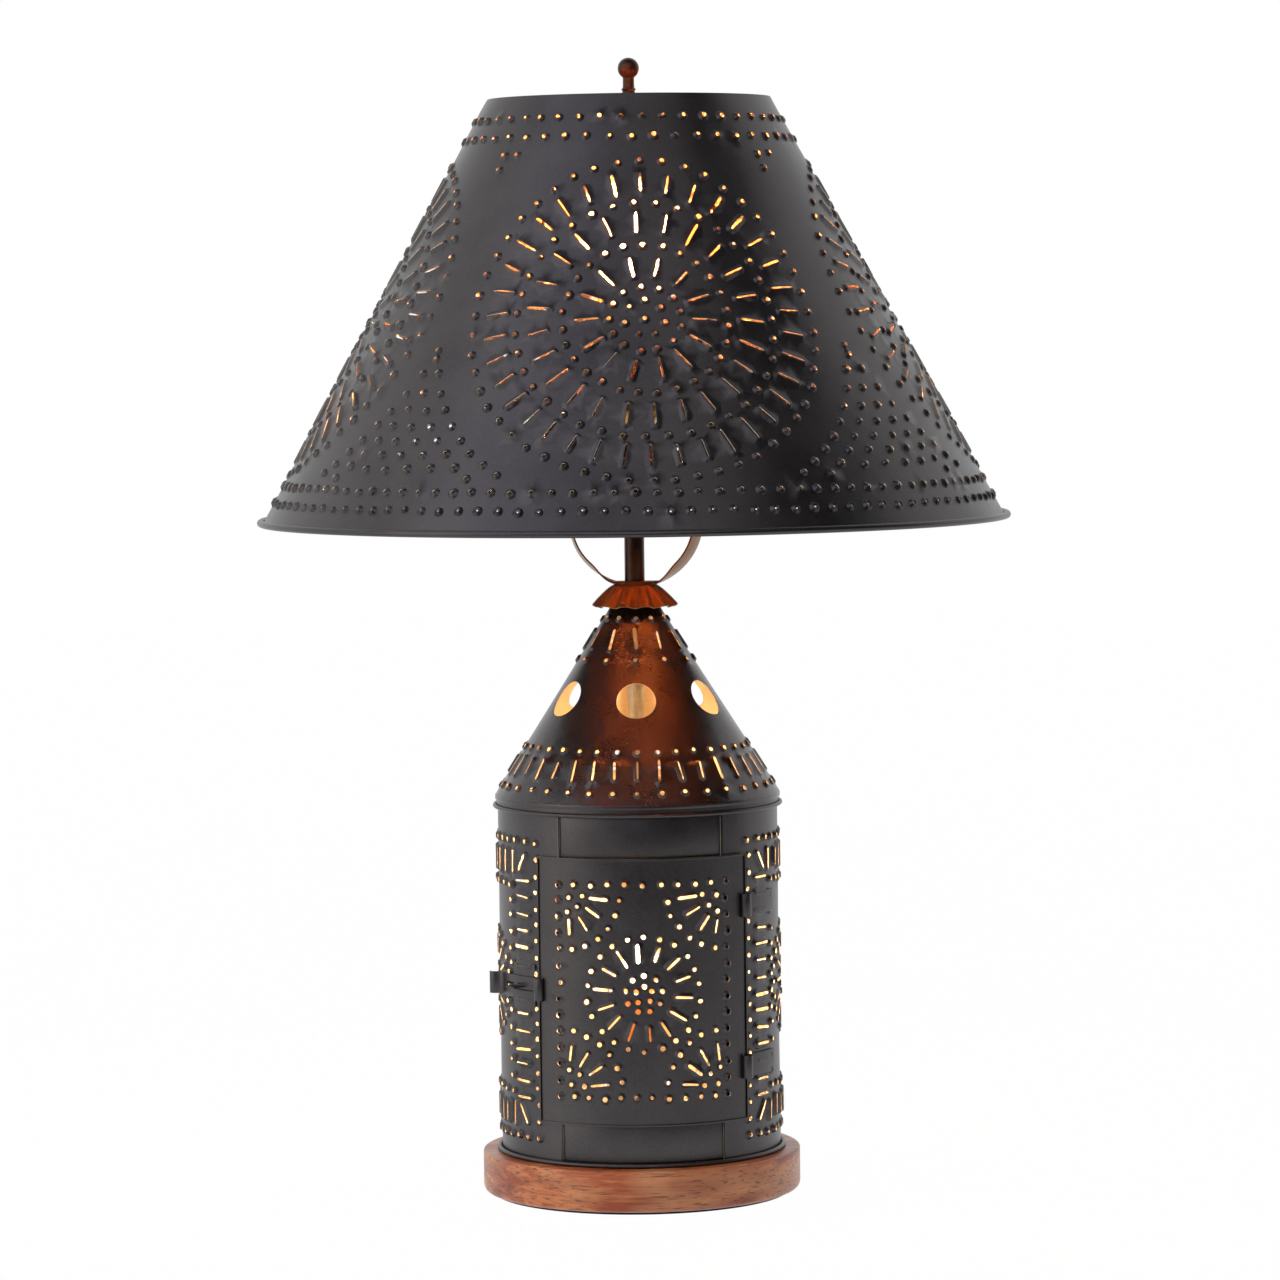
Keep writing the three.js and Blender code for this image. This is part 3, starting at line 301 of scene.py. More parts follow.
def spaced(groups, roll, low, high, gap=0.25):
    # draws in the raised edges of marks that would run into each other, and drops a mark that
    # still would, or that would run over the sheet's ends
    centre, ends, clear, hole = (np.concatenate([g[key] for g in groups])
                                 for key in ("centre", "ends", "clear", "hole"))
    # five points along each mark stand for it, and the closest two of two marks tell how far apart
    # they are; each may take its share of the room between them, by its own width
    probes = centre[:, None] + np.array([-1, -0.5, 0, 0.5, 1])[None, :, None] * ends[:, None]
    apart = np.min([np.linalg.norm(probes[:, k, None, None] - probes[None], axis=-1).min(-1)
                    for k in range(5)], 0)
    apart = np.minimum(apart, apart.T)
    np.fill_diagonal(apart, np.inf)
    room = ((apart - gap) * clear[:, None] / (clear[:, None] + clear[None])).min(1)
    draw = ((room - hole) / (clear - hole)).clip(0.2, 1)
    clear = hole + draw * (clear - hole)
    meets = apart < clear[:, None] + clear[None] + 0.9 * gap
    cut = roll["toCut"](probes.reshape(-1, 2)).reshape(-1, 5, 2)
    stretch = np.hypot(centre[:, 0], centre[:, 1])[:, None, None] if "sin" in roll else 1.0
    inside = (np.minimum(cut - low, high - cut) * stretch).min((1, 2)) > clear + gap
    kept = np.zeros(len(centre), bool)
    for k in np.flatnonzero(inside):
        kept[k] = not meets[k, kept].any()
    print("marks dropped:", (~kept).sum(), "drawn in:", (draw < 1).sum(), "of", len(kept))
    first, done = 0, []
    for g in groups:
        part = slice(first, first + len(g["centre"]))
        first = part.stop
        f = draw[part, None, None, None]
        holes = g["points"][:, :1]
        drawn = holes + f * (g["points"] - holes)
        # a mark that is drawn in also stands out less, down to about half its height
        lower = 0.4 + 0.6 * f[..., 0]
        new = dict(g, points=drawn, clear=clear[part], heights=g["heights"] * lower,
                   collar=g["collar"] + drawn[:, -1] - g["points"][:, -1])
        done.append({key: value[kept[part]] for key, value in new.items()})
    return done


def nearMarks(points, groups, margin, chunk=2000):
    # whether each point lies within the margin of any mark: its distance from the stretch between
    # the mark's two end centres is less than the mark's outer half width and the margin
    near = np.zeros(len(points), bool)
    for g in groups:
        length2 = np.maximum((g["ends"] ** 2).sum(1), 1e-9)
        for start in range(0, len(points), chunk):
            d = points[start:start + chunk, None] - g["centre"][None]
            t = ((d * g["ends"][None]).sum(-1) / length2).clip(-1, 1)
            distance = np.linalg.norm(d - t[..., None] * g["ends"][None], axis=-1)
            near[start:start + chunk] |= (distance < g["clear"][None] + margin).any(1)
    return near


def flatPoints(roll, low, high, pitch, unit, groups):
    # points of the flat sheet on the rectangle: its outline, then a grid and collars clear of marks
    columns, rows = np.maximum(2, np.round(np.subtract(high, low) / (pitch * unit))).astype(int) + 1
    u, v = np.linspace(low[0], high[0], columns), np.linspace(low[1], high[1], rows)
    edge = [cols(u, low[1]), cols(u, high[1]), cols(low[0], v[1:-1]), cols(high[0], v[1:-1])]
    middle = cols(*np.meshgrid(u[1:-1], v[1:-1], indexing="ij")).reshape(-1, 2)
    middle = middle[~nearMarks(roll["fromCut"](middle), groups, gaps["marks"])]
    # every second point round the long and the large marks; small dots need no collar
    collars = np.concatenate([g["collar"][:, ::2].reshape(-1, 2) for g in groups if g["collar"].shape[1] > 8])
    collars = roll["toCut"](collars[~nearMarks(collars, groups, gaps["collars"])])
    margin = gaps["ends"] * pitch * unit
    inside = (collars > low + margin).all(1) & (collars < high - margin).all(1)
    return np.concatenate([*edge, middle, collars[inside]])


def sheetMesh(roll, low, high, pitch, groups, thickness, wobble, closed=False):
    # low and high are the corners of the sheet on the rectangle where it is cut into triangles, and
    # unit is a millimetre there
    unit = 1 / np.exp((low[1] + high[1]) / 2) if "sin" in roll else 1.0
    flatOnes = flatPoints(roll, low, high, pitch, unit, groups)
    total, markCount = len(flatOnes), 0
    cuts, heights, walls = [flatOnes], [np.zeros(total)], []
    marks, rings = [np.full(total, -1)], [np.full(total, -1)]
    for g in groups:
        n, k, m = g["heights"].shape
        cuts.append(roll["toCut"](g["points"].reshape(-1, 2)))
        heights.append(g["heights"].reshape(-1))
        marks.append(np.repeat(np.arange(markCount, markCount + n), k * m))
        rings.append(np.tile(np.repeat(np.arange(k), m), n))
        hole = (total + np.arange(n * k * m).reshape(n, k, m))[:, 0]
        walls.append(cols(hole, np.roll(hole, -1, 1)).reshape(-1, 2))
        total, markCount = total + n * k * m, markCount + n
    cut, height, mark, ring, wall = (np.concatenate(part) for part in (cuts, heights, marks, rings, walls))
    scale = 1.0 / unit
    result = delaunay_2d_cdt([Vector(p) for p in (cut * scale).tolist()], [tuple(w) for w in wall.tolist()],
                             [], 0, 1e-5)
    found, triangles, origin = result[0], np.array(result[2]), result[3]
    given = np.array([bool(o) for o in origin])
    source = np.array([o[0] if o else 0 for o in origin])
    flatCut = np.where(given[:, None], cut[source], np.array([tuple(p) for p in found], float) / scale)
    flat = roll["fromCut"](flatCut)
    height, mark, ring = height[source], mark[source], ring[source]
    hole = (ring[triangles] == 0).all(1) & (mark[triangles] == mark[triangles[:, :1]]).all(1)
    triangles = triangles[~hole]
    # the sheet's own waviness: a sine along it, bent by a second one, times a sine across it, plus a
    # slower slanting sine, all a few centimetres long
    x, y = flat.T
    slow = 0.6 * np.sin(x / 41.0 - y / 29.0)
    wave = np.sin(x / 17.0 + 1.3 * np.sin(y / 31.0)) * np.sin(y / 23.0 + 0.7) + slow
    fade = (np.minimum(flatCut - low, high - flatCut) / (gaps["fade"] * unit)).clip(0, 1)
    height = height + wobble * wave * (fade[:, 1] * fade[:, 0] if closed else fade[:, 1])
    outer, innerSkin = roll["toSpace"](flat, height), roll["toSpace"](flat, height - thickness)
    if closed:  # both ends of a closed sheet meet, so their points are drawn together
        points, weld = np.unique(np.round(outer, 4), axis=0, return_inverse=True)
        weld = weld.reshape(-1)
        firsts = np.zeros(len(points), int)
        firsts[weld[::-1]] = np.arange(len(weld))[::-1]
        triangles, outer, innerSkin = weld[triangles], outer[firsts], innerSkin[firsts]
    n = len(outer)
    sides = np.concatenate([triangles[:, [0, 1]], triangles[:, [1, 2]], triangles[:, [2, 0]]])
    key = np.sort(sides, 1)
    _, back, count = np.unique(key[:, 0] * n + key[:, 1], return_inverse=True, return_counts=True)
    start, end = sides[count[back.reshape(-1)] == 1].T
    torn = np.concatenate([cols(end, start, start + n), cols(end, start + n, end + n)])
    faces = np.concatenate([triangles, triangles[:, ::-1] + n, torn])
    inner = np.repeat([0, 1, 2], [len(triangles), len(triangles), len(torn)])
    a, b, c = (outer[triangles[:, k]] for k in range(3))
    facing = np.einsum("ij,ij->i", np.cross(b - a, c - a), (outer - innerSkin)[triangles[:, 0]]).sum()
    return (np.concatenate([outer, innerSkin]), faces if facing > 0 else faces[:, ::-1]), inner


# Finishes
def linear(hexCode):
    # an sRGB hex colour as the linear colour that sockets take
    c = np.array([int(hexCode[k:k + 2], 16) for k in (1, 3, 5)]) / 255
    return (*np.where(c <= 0.04045, c / 12.92, ((c + 0.055) / 1.055) ** 2.4), 1.0)


def fill(tree, node, inputs):
    for key, value in inputs.items():
        if isinstance(value, bpy.types.NodeSocket):
            tree.links.new(value, node.inputs[key])
        else:
            node.inputs[key].default_value = value


def addNode(tree, kind, inputs, **settings):
    node = tree.nodes.new("ShaderNode" + kind)
    for key, value in settings.items():
        setattr(node, key, value)
    fill(tree, node, inputs)
    return node


def newFinish(name):
    material = bpy.data.materials.new(name)
    material.use_nodes = True
    tree = material.node_tree
    return material, tree, tree.nodes["Principled BSDF"], addNode(tree, "TexCoord", {}).outputs["Object"]


def noise(tree, place, size, **inputs):
    # cloudy values whose features are about so many millimetres
    return addNode(tree, "TexNoise", {"Vector": place, "Scale": 1000.0 / size, **inputs}).outputs["Fac"]


def combined(tree, operation, a, b):
    return addNode(tree, "Math", {0: a, 1: b}, operation=operation).outputs[0]


def mapped(tree, value, low, high, toLow=0.0, toHigh=1.0):
    return addNode(tree, "MapRange", {"Value": value, "From Min": low, "From Max": high,
                                      "To Min": toLow, "To Max": toHigh}).outputs[0]


def laid(tree, under, over, share):
    # one colour laid over another; 6 and 7 are a Mix node's colour sockets and 2 is their mixture
    return addNode(tree, "Mix", {"Factor": share, 6: under, 7: over}, data_type="RGBA").outputs[2]


def bumped(tree, height, strength, metres):
    return addNode(tree, "Bump", {"Height": height, "Strength": strength, "Distance": metres}).outputs[0]


def speckled(name, cloudMm, grainMm, dark, light, rough, bump, metallic=0.0, fade=None, sheen=0.0):
    # a finish with cloudy colour over a fine grain: two colours mixed by noise, roughness that
    # follows it, and a shallow bump from the grain
    material, tree, shader, place = newFinish(name)
    cloud = noise(tree, place, cloudMm, Detail=5.0, Roughness=0.6)
    grain = noise(tree, place, grainMm, Detail=3.0, Roughness=0.7)
    both = combined(tree, "ADD", cloud, grain)
    colour = laid(tree, linear(dark), linear(light), mapped(tree, both, 0.7, 1.3))
    # painted shade: below the lower height the colour goes over to the foot colour, standing for light that
    # falls off away from a lamp
    if fade:  # darkens towards the foot, between two heights in millimetres
        low, high, foot = fade
        height = addNode(tree, "SeparateXYZ", {"Vector": place}).outputs["Z"]
        colour = laid(tree, linear(foot), colour, mapped(tree, height, low / 1000, high / 1000))
    fill(tree, shader, {"Base Color": colour, "Roughness": mapped(tree, both, 0.7, 1.3, *rough),
                        "Normal": bumped(tree, grain, bump, grainMm / 1000),
                        "Metallic": metallic, "Sheen Weight": sheen})
    return material


# tinplate painted black and rubbed back while wet: a smoky satin skin, cloudy over a few
# centimetres, with a fine tooth from the brush
smokedTin = speckled("smokedTinplate", 38, 0.9, "#444243", "#555253", (0.31, 0.42), 0.04, 0.95)
# the roof's tin is rubbed a little smoother
rubbedTin = speckled("rubbedTinplate", 38, 0.9, "#444243", "#555253", (0.25, 0.34), 0.03, 0.95)
# the same tinplate inside, where it is left bare and has yellowed with the bulb's heat
bareTin = speckled("bareTinplate", 22, 0.8, "#e0cfae", "#f6ead2", (0.3, 0.48), 0.05, 0.35)
# inside the shade the bare tin is copper-coloured, with a painted shade that takes it to nearly black towards
# the foot, away from the bulb
copperTinShadedBelow = speckled("copperTinPaintedShade", 30, 0.8, "#b06f3d", "#d99b62", (0.35, 0.5), 0.05, 0.35,
                      fade=(438, 552, "#1a1310"))
# handle and collar: the same tin in a brown metal colour, lighter and more golden than its own dark brown;
# that extra warmth is painted light from the bulb above
brownTinPaintedGlow = speckled("brownTinWithPaintedGlow", 12, 0.7, "#6b472a", "#a5703a", (0.28, 0.4), 0.02, 0.6)
# oil-rubbed bronze: nearly black, brown where it is handled
rubbedBronze = speckled("oilRubbedBronze", 9, 0.5, "#241a15", "#4a3426", (0.25, 0.42), 0.03, 0.75)
# zinc-plated steel: pale grey, spangled over a few millimetres
zincSteel = speckled("zincPlatedSteel", 6, 0.6, "#8b8b86", "#b4b3ac", (0.28, 0.42), 0.04, 1.0)
# spun brass, lacquered and a little dulled
spunBrass = speckled("spunBrass", 10, 0.5, "#a07a38", "#c9a055", (0.22, 0.36), 0.03, 1.0)
# brown moulded phenolic, as on lamp holders and knobs
mouldedPhenolic = speckled("mouldedPhenolic", 7, 0.5, "#4a2c1a", "#6b4527", (0.28, 0.4), 0.03)
# a paler phenolic, as on the lower lamp's holder, which glows orange behind the door's rose
tanPhenolic = speckled("tanPhenolic", 7, 0.5, "#b87a3f", "#d69a58", (0.3, 0.42), 0.03)
# pressed card, the insulating sleeve of a lamp holder
pressedCard = speckled("pressedCard", 5, 0.4, "#7a5b3a", "#9b7850", (0.8, 0.95), 0.2)
# brown vinyl, extruded round the lead's wires
extrudedVinyl = speckled("extrudedVinyl", 8, 0.4, "#3a2a1e", "#4f3b2a", (0.4, 0.55), 0.03)
# nearly black pressed wool felt
pressedFelt = speckled("pressedFelt", 4, 0.35, "#17161a", "#2a282b", (0.9, 1.0), 0.5, sheen=0.3)


def turnedHardwood(look):
    # a plank's side grain: streaks of noise drawn out along X, two widths of streak laid over each
    # other, pale and red patches, fine dark pores, and the colour darker where the pores lie
    material, tree, shader, place = newFinish("turnedHardwood")

    def streaks(size, along, low, high, detail=3.0):
        drawn = addNode(tree, "Mapping", {"Vector": place, "Scale": (size / along, look["depth"], 1)})
        cloud = noise(tree, drawn.outputs[0], size, Detail=detail, Roughness=0.6, Distortion=look["waver"])
        return mapped(tree, cloud, low, high)

    narrow = streaks(*look["narrow"], 0.47, 0.57)
    colour = laid(tree, linear(look["light"]), linear(look["dark"]), streaks(*look["wide"], 0.43, 0.57))
    layers = (("red", narrow, 0.75), ("pale", streaks(*look["patches"], 0.45, 0.65, 1.0), 0.6),
              ("pore", streaks(*look["pores"], 0.55, 0.64), 0.7))
    for name, where, share in layers:
        colour = laid(tree, colour, linear(look[name]), combined(tree, "MULTIPLY", where, share))
    fill(tree, shader, {"Base Color": colour, "Roughness": 0.4, "Normal": bumped(tree, narrow, 0.2, 0.0003),
                        "Coat Weight": 0.2, "Coat Roughness": 0.3})
    return material


# each streak is its width and its length along the grain, in millimetres
baseWood = turnedHardwood({"wide": (11, 110), "narrow": (4, 90), "patches": (28, 60), "pores": (1.1, 22),
                           "waver": 0.3, "depth": 0.3, "light": "#e58d54", "dark": "#9a4822",
                           "red": "#b65025", "pale": "#f6b27c", "pore": "#5e2f19"})


def bulbGlass(name, look):
    # clear blown glass with a faint warm haze from the lit filament behind it
    material, tree, shader, place = newFinish(name)
    ripple = noise(tree, place, look["rippleMm"], Detail=1.0)
    fill(tree, shader, {"Base Color": linear(look["tint"]), "Roughness": 0.05, "Alpha": look["alpha"],
                        "Normal": bumped(tree, ripple, 0.05, 0.001),
                        "Emission Color": linear(look["haze"]), "Emission Strength": look["glow"]})
    return material


def glowing(name, colour, power):
    # a lit filament, a fifth dimmer and brighter in places
    material, tree, shader, place = newFinish(name)
    strength = mapped(tree, noise(tree, place, 2, Detail=1.0), 0.0, 1.0, power * 0.8, power * 1.2)
    fill(tree, shader, {"Base Color": linear(colour), "Emission Color": linear(colour),
                        "Emission Strength": strength})
    return material


clearGlass = bulbGlass("blownBulbGlass", {"rippleMm": 14, "tint": "#fff0d8", "alpha": 0.25,
                                          "haze": "#ffb469", "glow": 0.6})
# tungsten filaments, the upper one redder because the shade's copper inside is warmer
upperGlow = glowing("upperFilamentGlow", "#ffa25a", 7500)
nightGlow = glowing("nightFilamentGlow", "#ffcf9c", 9000)
print("finishes made")


# Patterns of marks: lists of (places, headings, length) for each kind
def rose(centre, rings, turn=0.0):
    # rings of dots and of slots that point away from the centre
    marks = {"dot": [], "slot": []}
    for kind, count, radius, phase, *length in rings:
        angle = turn + phase * 2 * np.pi / count + np.arange(count) * 2 * np.pi / count
        places = np.asarray(centre) + radius * polar(1, angle)
        marks[kind].append((places, angle, length[0] if length else None))
    return marks


def gather(marks, style):
    # makes groups of marks of these lists
    return [placeMarks(style, kind, *row) for kind, rows in marks.items() for row in rows]


def merge(*sets):
    return {kind: [row for s in sets for row in s.get(kind, [])] for kind in ("dot", "dimple", "slot")}


def dots(places, kind="dot"):
    places = np.asarray(places, float).reshape(-1, 2)
    return {kind: [(places, np.zeros(len(places)), None)]}


def punched(name, body, node, p, roll, corners, groups, looks, rims=(), **how):
    # the finished sheet with its marks, and any rolled rims that belong to it
    wall, inner = sheetMesh(roll, *corners, p["pitch"], groups, p["thickness"], p["wobble"], **how)
    inner = np.concatenate([inner, *(np.zeros(len(faces), int) for _, faces in rims)])
    shape = joined(wall, *rims)
    print(name, sum(len(g["centre"]) for g in groups), "marks,", len(shape[1]), "triangles")
    return addPiece(name, shape, body, looks, [node], inner)


# Shade
# each ring of the rose is its kind, count, radius, phase and, for slots, length; the lattice is its
# first circle, their step and how many; the rows along the foot and the head are their count,
# distance from the edge, phase and kind; the motif is three dots above each gap between roses
shade = {"topRadius": 80.9, "topHeight": 628.8, "slope": 0.5488, "wallFoot": 388.6, "thickness": 0.5,
         "pitch": 6.0, "wobble": 0.22, "seam": -131.0, "centres": (3.0, 93.0, 183.0, 273.0),
         "centreReach": 311.0,
         "rose": [("dot", 50, 99, 0.0), ("slot", 36, 84.5, 0.0, 13), ("dot", 37, 72.5, 0.3),
                  ("slot", 24, 59.8, 0.2, 13.5), ("dot", 27, 46, 0.0), ("slot", 14, 32, 0.5, 13),
                  ("dot", 13, 20, 0.2), ("dot", 7, 11, 0.0), ("dot", 1, 0, 0.0)],
         "lattice": (121.5, 11.5, 12), "latticeTip": 46.6, "latticeFoot": 34.0,
         "footRows": ((110, -27.0, 0.4, "dot"), (110, -15.7, 2.1, "dimple")),
         "headRows": ((47, 15.0, 1.0, "dot"), (47, 27.5, 4.5, "dot")),
         "motif": (np.array([-2.4, 3.4, -1.9]), np.array([207.8, 206.8, 216.5])),
         "rim": {"radius": 216.0, "height": 387.2, "curl": 2.0, "sheet": 0.6, "turn": 300}}


def shadeMarks(s, roll):
    spot = lambda angle, reach: roll["spot"](np.radians(angle), reach)
    rim, top = roll["reachAt"](s["rim"]["height"]), roll["reachAt"](s["topHeight"])
    sector = lambda angle: np.radians(angle) * roll["sin"]
    roses = [rose(spot(a, s["centreReach"]), s["rose"], np.pi + sector(a)) for a in s["centres"]]
    # between neighbouring roses the dots stand where two families of circles round them cross
    first, step, count = s["lattice"]
    half, drop = s["centreReach"] * np.sin(sector(45.0)), s["centreReach"] * np.cos(sector(45.0))
    i, j = np.meshgrid(np.arange(count), np.arange(count), indexing="ij")
    one, two = first + step * i.ravel(), first + step * j.ravel()
    side = (two ** 2 - one ** 2) / (4 * half)
    below = np.sqrt(np.maximum(one ** 2 - (half - side) ** 2, 0))
    below, side = np.append(below, s["latticeTip"]), np.append(side, 0.0)
    reach, lean = np.hypot(drop + below, side), np.arctan2(side, drop + below)
    keep = reach < rim - s["latticeFoot"]
    lattice = [dots(polar(reach[keep], sector(a + 45.0) + lean[keep])) for a in s["centres"]]
    rows = [dots(spot(np.arange(n) * 360.0 / n - 180 + phase, edge + inset), kind)
            for edge, row in ((rim, s["footRows"]), (top, s["headRows"])) for n, inset, phase, kind in row]
    angles, reaches = s["motif"]
    motif = [dots(spot(a + 45 + angles, reaches)) for a in s["centres"]]
    return merge(*rows, *roses, *lattice, *motif)


def makeShade(s):
    roll = coneRoll(s["topRadius"], s["topHeight"], s["slope"])
    low, high = roll["corners"](s["seam"], s["topHeight"], s["wallFoot"])
    groups = gather(shadeMarks(s, roll), shadeStyle)
    for g in groups:  # marks past the seam come round to the sheet's other end
        angle = np.arctan2(g["centre"][:, 1], g["centre"][:, 0])
        turns = np.where(angle < low[0], 1, np.where(angle > high[0], -1, 0)) * 2 * np.pi * roll["sin"]
        for key in ("centre", "ends", "collar", "points"):
            x, y = g[key][..., 0], g[key][..., 1]
            c, si = (f(turns).reshape((-1,) + (1,) * (x.ndim - 1)) for f in (np.cos, np.sin))
            g[key] = cols(x * c - y * si, x * si + y * c)
    groups = spaced(groups, roll, low, high)
    r = s["rim"]
    turn = np.radians(180 + np.degrees(np.arctan(s["slope"])) + np.linspace(0, r["turn"], 15))
    middle = [r["radius"] - r["curl"], r["height"] + r["curl"]]
    curl = [middle + polar(r["curl"], turn), middle + polar(r["curl"] - r["sheet"], turn[::-1])]
    curl = turned(np.concatenate(curl), 240)
    looks, corners = [smokedTin, copperTinShadedBelow, bareTin], (low, high)
    return punched("shade_wall", "shade", "shade_cone", s, roll, corners, groups, looks, [curl], closed=True)


makeShade(shade)

# Lantern
lantern = {"radius": 80.4, "foot": 26.2, "top": 228.0, "opening": (-33.5, 35.5), "thickness": 0.5,
           "pitch": 4.2, "wobble": 0.15, "panels": (92.0, 182.0, 272.0), "middle": 123.8,
           "frame": (59.5, 84.2), "band": 12.6, "inset": 25.2, "markPitch": 9.3, "slot": 12.5,
           "rose": [("dot", 22, 30.5, 0.0), ("slot", 14, 21.5, 0.0, 9.5), ("dot", 9, 10.3, 0.0),
                    ("dot", 5, 4.7, 0.0)]}


def boxRow(halfWidth, halfHeight, pitch):
    # points along a rectangle's sides, corners once, with the direction square to each side
    across = max(2, round(2 * halfWidth / pitch))
    down = max(2, round(2 * halfHeight / pitch))
    x = np.linspace(-halfWidth, halfWidth, across + 1)
    y = np.linspace(-halfHeight, halfHeight, down + 1)[1:-1]
    places = [cols(x, halfHeight), cols(x, -halfHeight), cols(halfWidth, y), cols(-halfWidth, y)]
    places = np.concatenate(places)
    headings = np.concatenate([np.full(2 * len(x), np.pi / 2), np.zeros(2 * len(y))])
    corner = (np.abs(np.abs(places) - [halfWidth, halfHeight]) < 1e-6).all(1)
    headings[corner] = np.arctan2(places[corner, 1], places[corner, 0])
    return places, headings


def panelMarks(p, centre):
    width, height = p["frame"]
    (outer, _), (inner, _), (band, headings) = (boxRow(width - inset, height - inset, p["markPitch"])
                                                for inset in (0, p["inset"], p["band"]))
    slots = {"slot": [(band + centre, headings, p["slot"])]}
    return merge(dots(outer + centre), dots(inner + centre), slots, rose(centre, p["rose"]))


def makeLantern(p):
    roll = drumRoll(p["radius"])
    arc = lambda angle: np.radians(angle) * p["radius"]
    corners = np.array([arc(p["opening"][1]), p["foot"]]), np.array([arc(360 + p["opening"][0]), p["top"]])
    marks = merge(*[panelMarks(p, np.array([arc(a), p["middle"]])) for a in p["panels"]])
    groups = spaced(gather(marks, lanternStyle), roll, *corners)
    return punched("lantern_wall", "lamp", "lantern_shell", p, roll, corners, groups, [smokedTin, bareTin])


makeLantern(lantern)

# the windows are the slots that the hinges' and the hasp's loops pass through: each its angle and
# height, its near and far edge as angles from there, and its half height; fan: how far the corner
# fans' centres stand to each side, and their two heights
door = {"radius": 82.45, "edges": (-43.8, 47.2), "foot": 49.3, "top": 200.7, "thickness": 0.6, "pitch": 4.0,
        "wobble": 0.1, "columns": 50.0, "rows": (65.5, 186.0), "columnCount": 14, "rowCounts": (12, 11),
        "fan": (45.7, 70.0, 181.5), "roseHeight": 124.5,
        "rose": [("dot", 22, 32.4, 0.0), ("slot", 14, 23.0, 0.25, 9.8), ("dot", 9, 10.3, 0.0),
                 ("dot", 5, 4.7, 0.0)],
        "windows": [(46.227, 79.3, -0.98, -2.14, 7.1), (46.227, 171.3, -0.98, -2.14, 7.1),
                    (-43.0, 125.0, 0.805, 1.952, 6.9)]}
# rows of the fan in each corner: first and last angle, count, radius; then the slots' length
fan = {"dots": ((45, 45, 1, 3.9), (8, 82, 3, 11.4), (8, 82, 6, 32.7)), "slots": (8, 82, 4, 20.6),
       "length": 10.0}


def fanMarks(corner, signs):
    # a quarter fan of dots and slots that opens away from a corner of the frame
    def row(start, end, count, radius):
        t = np.linspace(start, end, count) * np.pi / 180
        places = np.asarray(corner) + radius * (polar(1, t) * signs)
        return places, np.arctan2(np.sin(t) * signs[1], np.cos(t) * signs[0])

    return merge(*[dots(row(*settings)[0]) for settings in fan["dots"]],
                 {"slot": [(*row(*fan["slots"]), fan["length"])]})


def makeDoor(p):
    roll = drumRoll(p["radius"])
    arc = lambda angle: np.radians(angle) * p["radius"]
    middle = arc(sum(p["edges"]) / 2)
    corners = np.array([arc(p["edges"][0]), p["foot"]]), np.array([arc(p["edges"][1]), p["top"]])
    half, heights = p["columns"], np.linspace(*p["rows"], p["columnCount"])[1:-1]
    frameDots = [dots(cols(middle + side * half, heights)) for side in (-1, 1)]
    frameDots += [dots(cols(middle + np.linspace(-half, half, n), z))
                  for n, z in zip(p["rowCounts"], p["rows"])]
    x, lower, upper = p["fan"]
    fans = [fanMarks((middle + sx * x, z), (-sx, sz))
            for sx in (-1, 1) for z, sz in ((lower, 1), (upper, -1))]
    marks = merge(*frameDots, *fans, rose(np.array([middle, p["roseHeight"]]), p["rose"], np.pi / 2))
    groups = spaced(gather(marks, lanternStyle), roll, *corners)
    for angle, z, near, far, half in p["windows"]:
        centre = [[arc(angle + (near + far) / 2), z]]
        groups.append(placeMarks(lanternStyle, "window", centre, [np.pi / 2], 2 * half, abs(arc(far - near))))
    return punched("door_sheet", "door", "door_panel", p, roll, corners, groups, [smokedTin, bareTin])


makeDoor(door)

# Roof: each row is its count, the slots' reach and length, and the dots' two reaches
roof = {"baseRadius": 82.0, "baseHeight": 230.8, "slope": 0.6323, "neckHeight": 344.35, "thickness": 0.5,
        "pitch": 4.5, "wobble": 0.12, "seam": -195.0, "vents": (0, 59, 139, -139, -59), "ventReach": 86.9,
        "rows": [(36, 132.4, 12.6, 120.1, 145.9), (12, 48.4, 12.4, 34.3, 61.1)],
        "skirt": {"thick": 0.6, "drop": 2.4, "tuck": 0.4}}


def makeRoof(p):
    roll = coneRoll(p["baseRadius"], p["baseHeight"], p["slope"])
    corners = roll["corners"](p["seam"], p["neckHeight"], p["baseHeight"])
    marks = []
    for count, slotReach, length, *dotReaches in p["rows"]:
        angle = corners[0][0] / roll["sin"] + (np.arange(count) + 0.5) * 2 * np.pi / count
        marks.append({"slot": [(roll["spot"](angle, slotReach), angle * roll["sin"], length)]})
        marks += [dots(roll["spot"](angle, r)) for r in dotReaches]
    groups = spaced(gather(merge(*marks), roofStyle), roll, *corners)
    vent = np.radians(p["vents"])
    groups.append(placeMarks(roofStyle, "vent", roll["spot"](vent, p["ventReach"]), 0 * vent))
    r, z, s = p["baseRadius"], p["baseHeight"], p["skirt"]
    inside, foot = r - s["thick"], z - s["drop"]
    skirt = turned(softened([[inside, foot], [r, foot], [r, z], [inside, z + s["tuck"]]], 0.2, 3), 180)
    looks = [rubbedTin, bareTin]
    return punched("roof_cone", "lamp", "cone_roof", p, roll, corners, groups, looks, [skirt], closed=True)


makeRoof(roof)
print("punched sheets made")


# Lantern trim
def tinPiece(name, shape, node, body="lamp", look=smokedTin):
    return addPiece(name, shape, body, [look], [node])


def onWall(radius, angles):
    # a path along the lantern's wall, with the outward direction across it
    out = roundAxis(1, np.radians(angles), 0)
    return radius * out, out, np.tile([0.0, 0.0, 1.0], (len(out), 1))


def wallBar(radius, thick, start, end, low, high, step=1.5, round=0.12):
    count = max(3, int(abs(end - start) / step) + 2)
    return carried(*onWall(radius, np.linspace(start, end, count)), barSection(thick, low, high, round))


def loopBar(radius, angle, loop, thick, low, high, sides=40):
    # a closed loop of strip about an upright line beside the wall
    out = np.pad(disc(1, sides), ((0, 0), (0, 1)))
    centre = onWall(radius, np.array([angle]))[0]
    up = np.tile([0.0, 0.0, 1.0], (sides, 1))
    return carried(centre + loop * out, out, up, barSection(thick, low, high, 0.1), closed=True)


